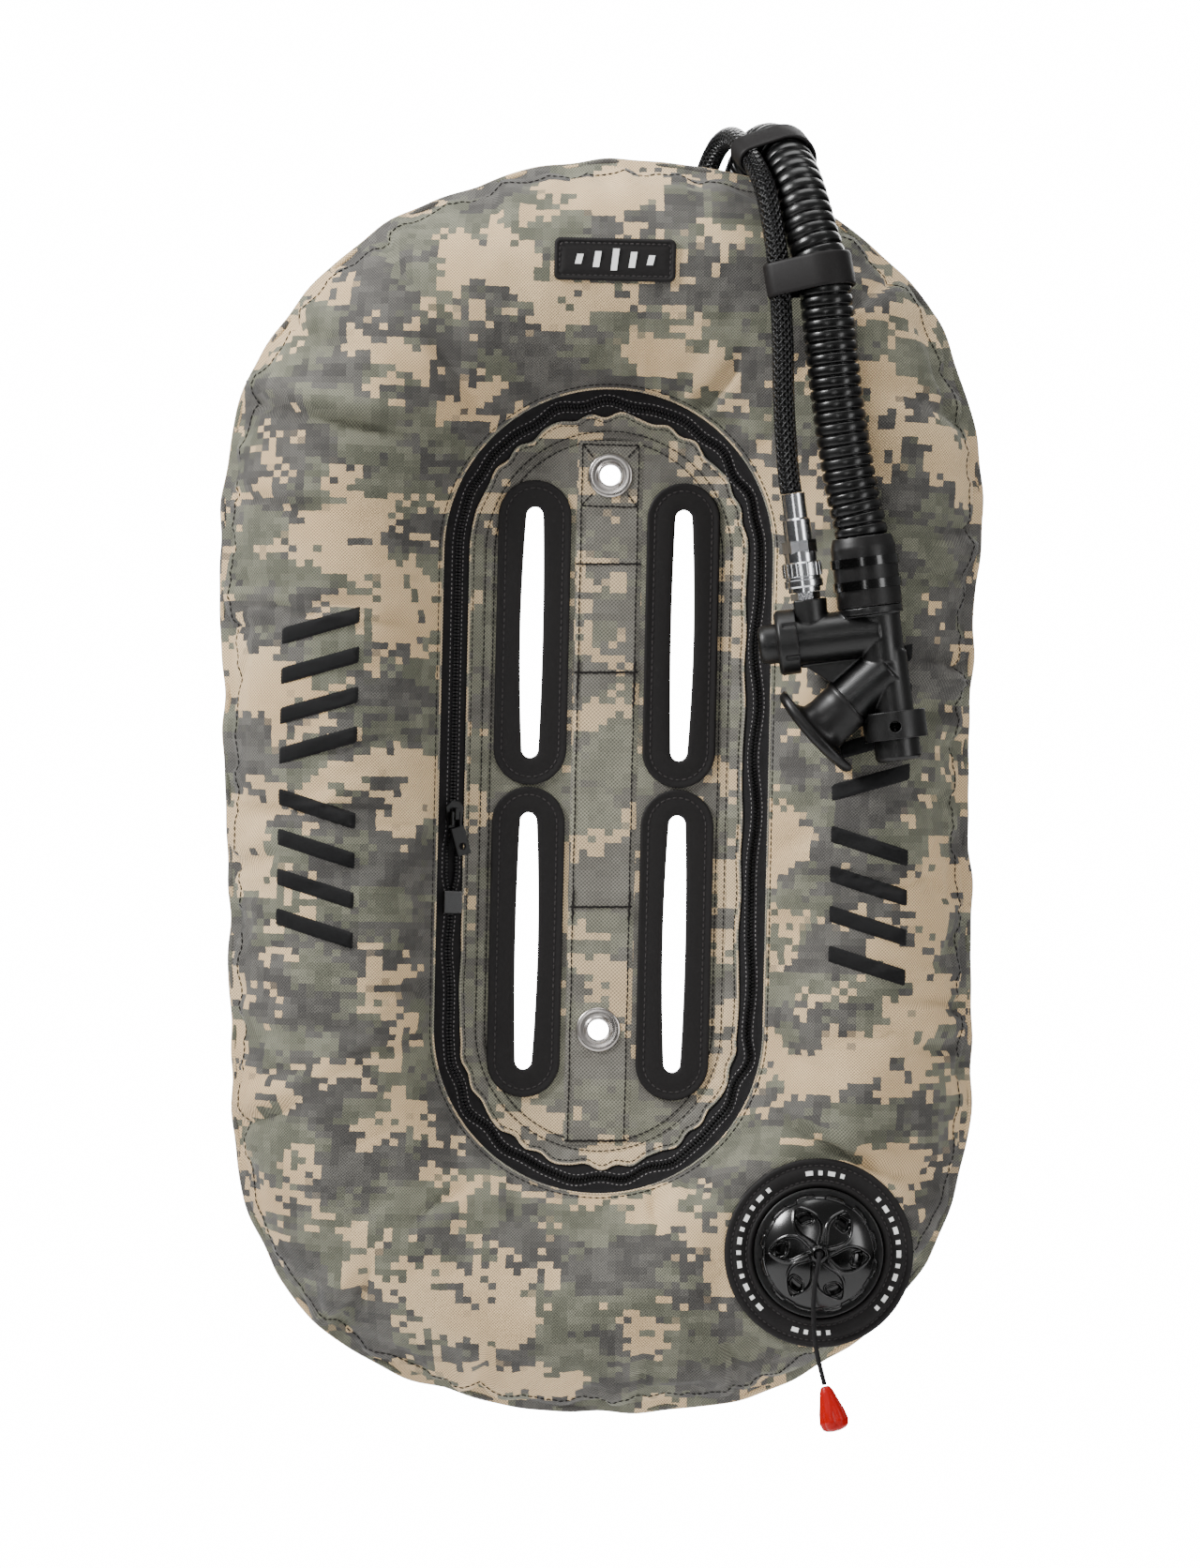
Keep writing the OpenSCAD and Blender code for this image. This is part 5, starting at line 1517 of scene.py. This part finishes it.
# The patch's edge, from outside in: inset and height.
PATCH_PROFILE = [(0.0, -0.3), (0.0, 0.9), (0.35, 1.45), (1.0, 1.7), (1.8, 1.65), (2.2, 1.15), (3.2, 1.15),
                 (3.6, 1.4), (6.0, 1.4), (9.0, 1.4)]

BAR_FACES = [(4, 5, 6, 7), (0, 1, 5, 4), (1, 2, 6, 5), (2, 3, 7, 6), (3, 0, 4, 7)]


def make_top_patch(read):
    """A moulded patch with a raised rim, a stitch groove and a plain wave motif."""
    w, h, centre_z = 61.0, 21.5, 247.0
    rows = []
    for inset, height in PATCH_PROFILE:
        outline = rounded_rect(w - 2 * inset, h - 2 * inset, max(0.6, 3.2 - 0.7 * inset))
        face = np.array([read(x, z + centre_z) for x, z in outline])
        face = 0.5 * face + 0.5 * (-DEPTH - SKIN - 0.3)
        rows.append(np.stack([outline[:, 0], face - height - 0.4, outline[:, 1] + centre_z], 1))
    points = np.stack(rows, 0)
    faces = [tuple(f) for f in grid_faces(len(rows), points.shape[1], wrap_cols=True)]
    faces.append(tuple((len(rows) - 1) * points.shape[1] + i for i in range(points.shape[1])))
    patch = fix_normals(add_mesh("top_patch_rubber", points.reshape(-1, 3) * MM, faces, RUBBER))
    stands_for(patch, "black_rubber", "top_patch")
    top = float(points[-1, :, 1].mean())
    bars = []
    for k, size in enumerate((5.0, 8.0, 11.0, 8.0, 5.0)):
        x = (k - 2) * 9.0
        outline = np.array([(-2.2, -size / 2), (1.0, -size / 2), (2.2, size / 2), (-1.0, size / 2)])
        outline += (x, centre_z)
        low = np.stack([outline[:, 0], np.full(4, top + 0.2), outline[:, 1]], 1)
        high = low + (0, -0.75, 0)
        bars.append((np.concatenate([low, high]), BAR_FACES))
    points, faces = merged(bars)
    mark = fix_normals(add_mesh("top_patch_motif", points * MM, faces, PRINT, smooth=False))
    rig.slot(mark, "black_rubber")
    line, up = flat_line(rounded_rect(w - 5.4, h - 5.4, 2.0) + (0, centre_z), top + 0.15)
    points, faces = stitch_run(line, up, 2.7, 1.9, 0.36)
    add_mesh("top_patch_stitches", points * MM, faces, STITCH_PALE)


# ---------------------------------------------------------------- dump valve (mm, from the shell's face)
SEAT_Y = -VALVE_FLAT_H - SKIN


def on_valve(x, y, out):
    """From a valve-centred plane and height to the wing's frame."""
    return np.stack([VALVE_AT[0] + x, SEAT_Y - out, VALVE_AT[1] + y], -1)


def valve_row(radius, height, turn):
    """One closed row of points round the valve's axis."""
    return on_valve(radius * np.cos(turn), radius * np.sin(turn), np.full(len(turn), height))


# The ring's section: radius and height.
RING_PROFILE = [(29.5, 0.4), (33.0, 0.4), (33.0, 1.5), (33.6, 2.1), (34.6, 2.3), (35.4, 2.1), (35.9, 1.6),
                (36.9, 1.6), (37.5, 2.0), (42.8, 2.0), (43.4, 1.6), (44.4, 1.6), (44.9, 2.1), (46.0, 2.3),
                (47.0, 2.0), (47.4, 1.4), (47.4, 0.1)]
# Runs of plain blocks printed on the ring: first and last bearing, and the step between them.
MARK_RUNS = ((130, 232, 8.5), (-42, 44, 8.5), (74, 106, 8.0), (254, 286, 8.0))


def make_valve_ring():
    turn = turns(144)
    rows = [valve_row(r, h, turn) for r, h in RING_PROFILE]
    faces = grid_faces(len(rows), len(turn), wrap_cols=True)
    ring = fix_normals(add_mesh("valve_ring_rubber", np.concatenate(rows) * MM, faces, RUBBER))
    stands_for(ring, "black_rubber", "valve_patch_ring")
    parts = []
    for r in (36.4, 43.9):
        line = valve_row(r, 1.75, turns(200))
        parts.append(stitch_run(line, np.tile((0.0, -1.0, 0.0), (200, 1)), 2.9, 2.0, 0.36))
    points, faces = merged(parts)
    add_mesh("valve_ring_stitches", points * MM, faces, STITCH_PALE)
    marks = []
    for start, end, step in MARK_RUNS:
        for a in np.arange(start, end, step):
            half = math.radians(1.5 if (round(a / step) % 2) else 2.6)
            t = np.linspace(-half, half, 5) + math.radians(a)
            low = [valve_row(r, 2.0 + lift, t) for r in (39.0, 41.3) for lift in (0.0, 0.3)]
            block = np.concatenate([low[0], low[2], low[1], low[3]])
            faces = []
            for a0, b0 in ((0, 5), (10, 15), (0, 10), (5, 15)):
                faces += [(a0 + i, a0 + i + 1, b0 + i + 1, b0 + i) for i in range(4)]
            faces += [(0, 5, 15, 10), (4, 9, 19, 14)]
            marks.append((block, faces))
    points, faces = merged(marks)
    fix_normals(add_mesh("valve_ring_marks", points * MM, faces, PRINT, smooth=False))


CAP_R = 30.5
CAP_TOP_R = 27.4
LEAVES = 6
LEAF_TURN = math.radians(53)


def cap_height(r, turn):
    """Dome with six sunk leaves, each with a window at its widest place, and a hub."""
    dome = 5.6 + 15.2 * np.clip(1 - (r / 33.5) ** 2.3, 0, 1) ** 0.8
    step = TAU / LEAVES
    swirl = 0.12 * (r - 19.0) / 10.0
    off = (turn - LEAF_TURN - swirl + step / 2) % step - step / 2
    across, radial = r * np.sin(off), r * np.cos(off) - 19.0
    reach = np.clip((r - 4.4) / 21.0, 0, 1)
    half = 0.7 + 5.6 * np.sin(np.pi * reach ** 1.25)
    leaf = ease((half - np.abs(across)) / 0.9) * ease((r - 4.2) / 0.9) * ease((25.6 - r) / 1.2)
    lip = ease(1 - np.abs(half - np.abs(across) + 0.5) / 0.7) * ease((r - 5) / 2) * ease((25.6 - r) / 1.2)
    round_it = (np.abs(across / 3.7) ** 2.6 + np.abs(radial / 3.0) ** 2.6) ** (1 / 2.6)
    window = ease((1 - round_it) / 0.18)
    rim = ease(1 - np.abs(round_it - 1.12) / 0.14)
    hub = 1.3 * ease((4.0 - r) / 0.8) * ease((r - 2.3) / 0.5)
    height = dome - 1.9 * leaf + 0.45 * lip + 0.7 * rim + hub - 3.2 * window
    # The lifted disc has to stay clear underneath.
    return np.where(r < 17.6, np.maximum(height, 15.0), height)


def make_valve_cap():
    radii = np.concatenate([[2.15, 2.2], np.linspace(2.4, CAP_TOP_R, 84)])
    count = 360
    turn = turns(count)
    rows = [valve_row(radii[0], 16.6, turn)]
    for r in radii[1:]:
        rows.append(on_valve(r * np.cos(turn), r * np.sin(turn), cap_height(np.full(count, r), turn)))
    notch = ease((np.abs((turn * 12 / TAU + 0.5) % 1 - 0.5) - 0.17) / 0.04)
    wide = ease((np.abs((turn * 6 / TAU + 0.1) % 1 - 0.5) - 0.30) / 0.03)
    edge = float(cap_height(np.array([CAP_TOP_R]), np.array([LEAF_TURN])).item())
    for r, h, cut in ((27.8, edge + 0.3, 0), (28.5, edge + 0.6, 0), (29.3, edge + 0.3, 1),
                      (29.8, edge - 0.8, 1), (30.2, 9.0, 1), (CAP_R, 6.2, 1), (CAP_R, 4.3, 1), (27.0, 4.3, 0)):
        rows.append(valve_row(r - cut * (2.4 * (1 - notch) + 0.5 * (1 - wide)), h, turn))
    points = np.stack(rows, 0)
    faces = grid_faces(len(rows), count, wrap_cols=True)
    cap = fix_normals(add_mesh("valve_cap_petals", points.reshape(-1, 3) * MM, faces, GLOSS))
    stands_for(cap, "black_plastic", "valve_cap")


# ---------------------------------------------------------------- mouthpiece, bands and moulded parts
INFLATOR_AT = np.array((142.0, -58.0, 36.4))
LEAN = math.radians(8.2)
BRANCH_TURN = math.radians(-124.8)
BRANCH_Z = 9.0


def leaned(points, turn):
    """The points, turned about the y axis."""
    x, y, z = points[..., 0], points[..., 1], points[..., 2]
    c, s = math.cos(turn), math.sin(turn)
    return np.stack([x * c + z * s, y, z * c - x * s], -1)


def on_branch(points):
    """From the mouthpiece's own axis to the wing's frame."""
    return leaned(leaned(points, BRANCH_TURN) + (0, 0, BRANCH_Z), -LEAN) + INFLATOR_AT


def oval(half_l, half_w, count):
    """Points round a flat-sided oval: long along x."""
    turn = turns(count)
    cos, sin = np.cos(turn), np.sin(turn)
    x = half_l * np.sign(cos) * np.abs(cos) ** 0.82
    return np.stack([x, half_w * np.sign(sin) * np.abs(sin) ** 0.9], 1)


# Rows of the mouthpiece: half length, half width, distance along its axis, and bend at its ends.
MOUTH_ROWS = [(12.45, 12.45, 26.0, 0), (13.3, 13.3, 26.0, 0), (13.7, 13.7, 26.5, 0), (13.7, 13.7, 28.3, 0),
              (13.2, 13.2, 29.0, 0), (13.0, 13.0, 34.0, 0), (12.9, 12.9, 40.0, 0), (13.6, 12.8, 44.0, 0),
              (17.0, 13.6, 46.6, -0.5), (22.5, 15.4, 47.6, -1.6), (25.0, 16.4, 47.9, -2.2),
              (25.9, 16.9, 49.2, -2.6), (25.9, 16.9, 51.0, -2.6), (25.0, 16.2, 52.6, -2.5),
              (23.4, 14.6, 53.0, -2.3), (21.6, 13.0, 52.0, -2.0), (18.0, 9.6, 50.6, -1.4),
              (14.4, 6.9, 50.0, -1.0), (13.6, 6.2, 49.0, -0.6), (12.6, 6.2, 44.0, 0), (9.2, 8.0, 38.0, 0),
              (9.0, 9.0, 32.0, 0), (12.4, 12.4, 31.5, 0), (12.45, 12.45, 26.0, 0)]


def make_mouthpiece():
    """A soft neck that opens into an oval lip plate, bent back a little at both ends."""
    count = 96
    turn = turns(count)
    rows = []
    for half_l, half_w, along, bend in MOUTH_ROWS:
        if abs(half_l - half_w) > 0.2:
            outline = oval(half_l, half_w, count)
        else:
            outline = np.stack([half_l * np.cos(turn), half_w * np.sin(turn)], 1)
        depth = along + bend * (outline[:, 0] / 26.0) ** 2
        rows.append(np.stack([outline[:, 0], outline[:, 1], depth], 1))
    points = on_branch(np.stack(rows, 0))
    faces = grid_faces(len(rows), count, wrap_cols=True)
    piece = fix_normals(add_mesh("mouthpiece_soft", points.reshape(-1, 3) * MM, faces, RUBBER_SOFT))
    stands_for(piece, "black_rubber", "mouthpiece")


def belt(ra, rb, gap, steps):
    """The outline of a band stretched round two circles that lie gap apart."""
    lean = math.acos((ra - rb) / gap)
    a = lean + (TAU - 2 * lean) * np.linspace(0, 1, steps)
    b = -lean + 2 * lean * np.linspace(0, 1, steps // 2)
    return np.concatenate([np.stack([ra * np.cos(a), ra * np.sin(a)], 1),
                           np.stack([gap + rb * np.cos(b), rb * np.sin(b)], 1)])


# A band's section: how far it stands off the hoses, and its place as a share of its width.
BAND_PROFILE = ((0.45, -0.5), (1.6, -0.5), (1.95, -0.46), (2.1, -0.40), (2.1, 0.40), (1.95, 0.46), (1.6, 0.5),
                (0.45, 0.5))


def make_band(name, node, at, towards, aim, width):
    at, towards, aim = (np.asarray(v, float) for v in (at, towards, aim))
    z_dir = aim / np.linalg.norm(aim)
    gap_v = towards - at
    x_dir = gap_v - (gap_v @ z_dir) * z_dir
    x_dir /= np.linalg.norm(x_dir)
    y_dir = np.cross(z_dir, x_dir)
    gap = float(gap_v @ x_dir)
    rows = []
    for grow, z in BAND_PROFILE:
        outline = belt(HOSE_R + grow, FEED_R + grow, gap, 64)
        rows.append(at + outline[:, :1] * x_dir + outline[:, 1:] * y_dir + z * width * z_dir)
    band = strip_round(name, np.stack(rows, 0), RUBBER)
    stands_for(band, "black_rubber", node)


def make_bands():
    hose, feed = (np.asarray(r, float) for r in (HOSE_ROUTE, FEED_ROUTE))
    make_band("hose_band_lower_rubber", "hose_band_lower", hose[8], feed[4], hose[9] - hose[7], 17)
    make_band("hose_band_upper_rubber", "hose_band_upper", hose[5], feed[7], hose[6] - hose[4], 15)


# CAD nodes that get a moulded copy: material, voxel in mm and smoothing passes.
MOULDED = (("inflator_body", PLASTIC, 0.55, 4), ("inflate_cap_ring", PLASTIC, 0.45, 3),
           ("inflate_button", PLASTIC, 0.45, 3), ("oral_collar", PLASTIC, 0.3, 4),
           ("oral_button", PLASTIC, 0.3, 4), ("elbow", PLASTIC, 0.6, 3), ("elbow_nut", PLASTIC, 0.5, 3),
           ("hose_cuff_lower", RUBBER_SOFT, 0.6, 3), ("hose_cuff_upper", RUBBER_SOFT, 0.6, 3),
           ("valve_base", PLASTIC, 0.6, 2), ("zip_pull", ZIP_PAINT, 0.22, 3),
           ("zip_slider", ZIP_PAINT, 0.22, 2), ("zip_box", GLOSS, 0.3, 3))


def make_moulded_parts():
    for node, material, voxel, passes in MOULDED:
        softened(node, material, voxel * MM, passes)


# A grommet's section: radius, and height above the face that it sits on.
GROMMET_RIM = [(5.2, -1.5), (5.2, 1.0), (5.4, 1.45), (5.9, 1.7), (6.5, 1.5), (6.9, 0.95), (7.2, 0.72),
               (7.6, 0.82), (8.6, 1.05), (9.8, 1.05), (10.7, 0.8), (11.15, 0.45), (11.3, 0.1), (11.3, -0.1),
               (5.9, -0.1), (5.9, -1.5)]
BACK_RIM = 0.68


def make_grommets():
    """Turned metal rings: a rolled inner edge, a second bead and a domed flange."""
    count = 120
    turn = turns(count)
    for end, z in (("top", GROMMET_Z), ("bottom", -GROMMET_Z)):
        for name, node, face, way, share in (
                ("grommet_" + end + "_ring", "grommet_" + end, PANEL_FACE + 1.2, -1, 1),
                ("grommet_" + end + "_back_ring", "grommet_" + end + "_washer", PANEL_FACE + 0.1, 1,
                 BACK_RIM)):
            rows = []
            for r, h in GROMMET_RIM:
                y = np.full(count, way * (face + h * share))
                rows.append(np.stack([r * np.cos(turn), y, z + r * np.sin(turn)], 1))
            ring = strip_round(name, np.stack(rows, 0), GROMMET_METAL)
            stands_for(ring, "bright_metal", node)


SPRINGS = (("valve_spring", "dump_lift"), ("inflate_spring", "inflate_press"), ("oral_spring", "oral_press"))


def make_springs():
    """Coils that shorten with the button or disc they push: each one keeps its far end still."""
    joints = {joint["name"]: joint for joint in frame["joints"]}
    for node, joint in SPRINGS:
        axis = np.array(joints[joint]["axis"], float)
        travel = joints[joint]["range_m"][1]
        coil = copied(node, node + "_coil")
        one_material(coil.data, SPRING)
        along = read_vectors(coil.data.vertices, "co") @ axis
        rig.ride(coil, "wing")
        stands_for(coil, "spring_steel", node)
        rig.squash(coil, joint, axis=tuple(axis), anchor=tuple(axis * along.max()),
                  keep=1 - travel / np.ptp(along))


def dress_cad_nodes():
    for node in ("feed_nipple", "feed_coupling", "feed_sleeve", "feed_end_fitting"):
        one_material(frame["nodes"][node].data, CHROME)
    for node in ("valve_gasket", "feed_end_oring", "oral_seal", "elbow_gasket"):
        one_material(frame["nodes"][node].data, RUBBER_SOFT)
    for node in ("cable_ties_lower", "cable_ties_upper"):
        one_material(frame["nodes"][node].data, GLOSS)
    one_material(frame["nodes"]["valve_disc"].data, PLASTIC)


# ---------------------------------------------------------------- floor and light
def make_stage():
    bpy.ops.mesh.primitive_plane_add(size=3.4, location=(0, 0, -0.78))
    floor = bpy.context.object
    floor.name = "floor"
    n = Nodes("pale_floor")
    cloud = n.span(n.noise(n.place(), 3.0, 2.0), 0.3, 0.7)
    n.set(base_color=n.mix(cloud, (0.84, 0.84, 0.84, 1), (0.88, 0.88, 0.88, 1)), roughness=0.8)
    floor.data.materials.append(n.material)
    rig.stage(floor)


def area_light(name, place, target, size, power, tint=(1, 1, 1)):
    data = bpy.data.lights.new(name, "AREA")
    data.shape = "RECTANGLE"
    data.size, data.size_y = size
    data.energy = power
    data.color = tint
    light = bpy.data.objects.new(name, data)
    bpy.context.scene.collection.objects.link(light)
    light.location = place
    light.rotation_euler = (Vector(target) - Vector(place)).to_track_quat("-Z", "Y").to_euler()


REFLECTED = [(0.0, 0.04), (0.46, 0.05), (0.5, 0.22), (0.6, 0.9), (0.8, 0.8), (1.0, 0.6)]


def make_light():
    world = bpy.data.worlds.new("studio")
    bpy.context.scene.world = world
    world.use_nodes = True
    tree = world.node_tree
    base = tree.nodes["Background"]
    # A pale ceiling and walls over a darker floor, so that metal has something to reflect.
    place = tree.nodes.new("ShaderNodeTexCoord").outputs["Generated"]
    split = tree.nodes.new("ShaderNodeSeparateXYZ")
    tree.links.new(place, split.inputs[0])
    ramp = tree.nodes.new("ShaderNodeValToRGB")
    tree.links.new(split.outputs["Z"], ramp.inputs["Fac"])
    ramp.color_ramp.elements[0].color = (0.16, 0.16, 0.17, 1)
    ramp.color_ramp.elements[1].position = 0.75
    ramp.color_ramp.elements[1].color = (1.0, 1.0, 1.0, 1)
    tree.links.new(ramp.outputs["Color"], base.inputs["Color"])
    base.inputs["Strength"].default_value = 0.55
    shown = tree.nodes.new("ShaderNodeBackground")
    shown.inputs["Color"].default_value = (1, 1, 1, 1)
    shown.inputs["Strength"].default_value = 16.0
    # What gloss and metal reflect: a dark floor, a bright band at eye level and a pale ceiling.
    level = tree.nodes.new("ShaderNodeMapRange")
    level.inputs["From Min"].default_value = -1.0
    tree.links.new(split.outputs["Z"], level.inputs["Value"])
    bands = tree.nodes.new("ShaderNodeValToRGB")
    tree.links.new(level.outputs["Result"], bands.inputs["Fac"])
    stops = bands.color_ramp.elements
    for element, value in ((stops[0], REFLECTED[0][1]), (stops[1], REFLECTED[-1][1])):
        element.color = (value, value, value, 1)
    for position, value in REFLECTED[1:-1]:
        stops.new(position).color = (value, value, value, 1)
    gleam = tree.nodes.new("ShaderNodeBackground")
    gleam.inputs["Strength"].default_value = 0.42
    tree.links.new(bands.outputs["Color"], gleam.inputs["Color"])
    path = tree.nodes.new("ShaderNodeLightPath")
    seen = tree.nodes.new("ShaderNodeMixShader")
    tree.links.new(path.outputs["Is Glossy Ray"], seen.inputs["Fac"])
    tree.links.new(base.outputs[0], seen.inputs[1])
    tree.links.new(gleam.outputs[0], seen.inputs[2])
    mix = tree.nodes.new("ShaderNodeMixShader")
    tree.links.new(path.outputs["Is Camera Ray"], mix.inputs["Fac"])
    tree.links.new(seen.outputs[0], mix.inputs[1])
    tree.links.new(shown.outputs[0], mix.inputs[2])
    tree.links.new(mix.outputs[0], tree.nodes["World Output"].inputs["Surface"])
    area_light("key", (-1.75, -0.85, 1.35), (0, 0, 0), (0.6, 0.6), 104)
    area_light("fill", (1.6, -1.3, 0.2), (0, 0, 0), (0.5, 1.4), 17)
    area_light("top", (0.1, -0.2, 1.7), (0, 0, 0), (1.4, 0.8), 26)
    area_light("back", (0.4, 1.7, 0.9), (0, 0, 0), (1.6, 1.2), 40)
    area_light("glint", (-0.3, -2.4, 0.5), (0, 0, 0), (0.25, 1.0), 9)


shell_cloth = make_shell()
make_air_cell()
make_seam_binding()
make_zip_tapes()
make_zip_teeth()
make_hems()
make_facing()
make_panel()
make_webbing()
make_slot_frames()
make_panel_stitches()
make_shell_stitches(shell_cloth)
read_shell = surface_reader(shell_cloth)
make_embroidery(read_shell)
make_top_patch(read_shell)
make_valve_ring()
make_valve_cap()
make_mouthpiece()
make_bands()
make_moulded_parts()
make_grommets()
make_springs()
dress_cad_nodes()
make_stage()
make_light()

visual_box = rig.bounds()
with open("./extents.json", "w") as out:
    json.dump({"cad": [list(p) for p in CAD_BOX], "visual": [list(p) for p in visual_box]}, out)
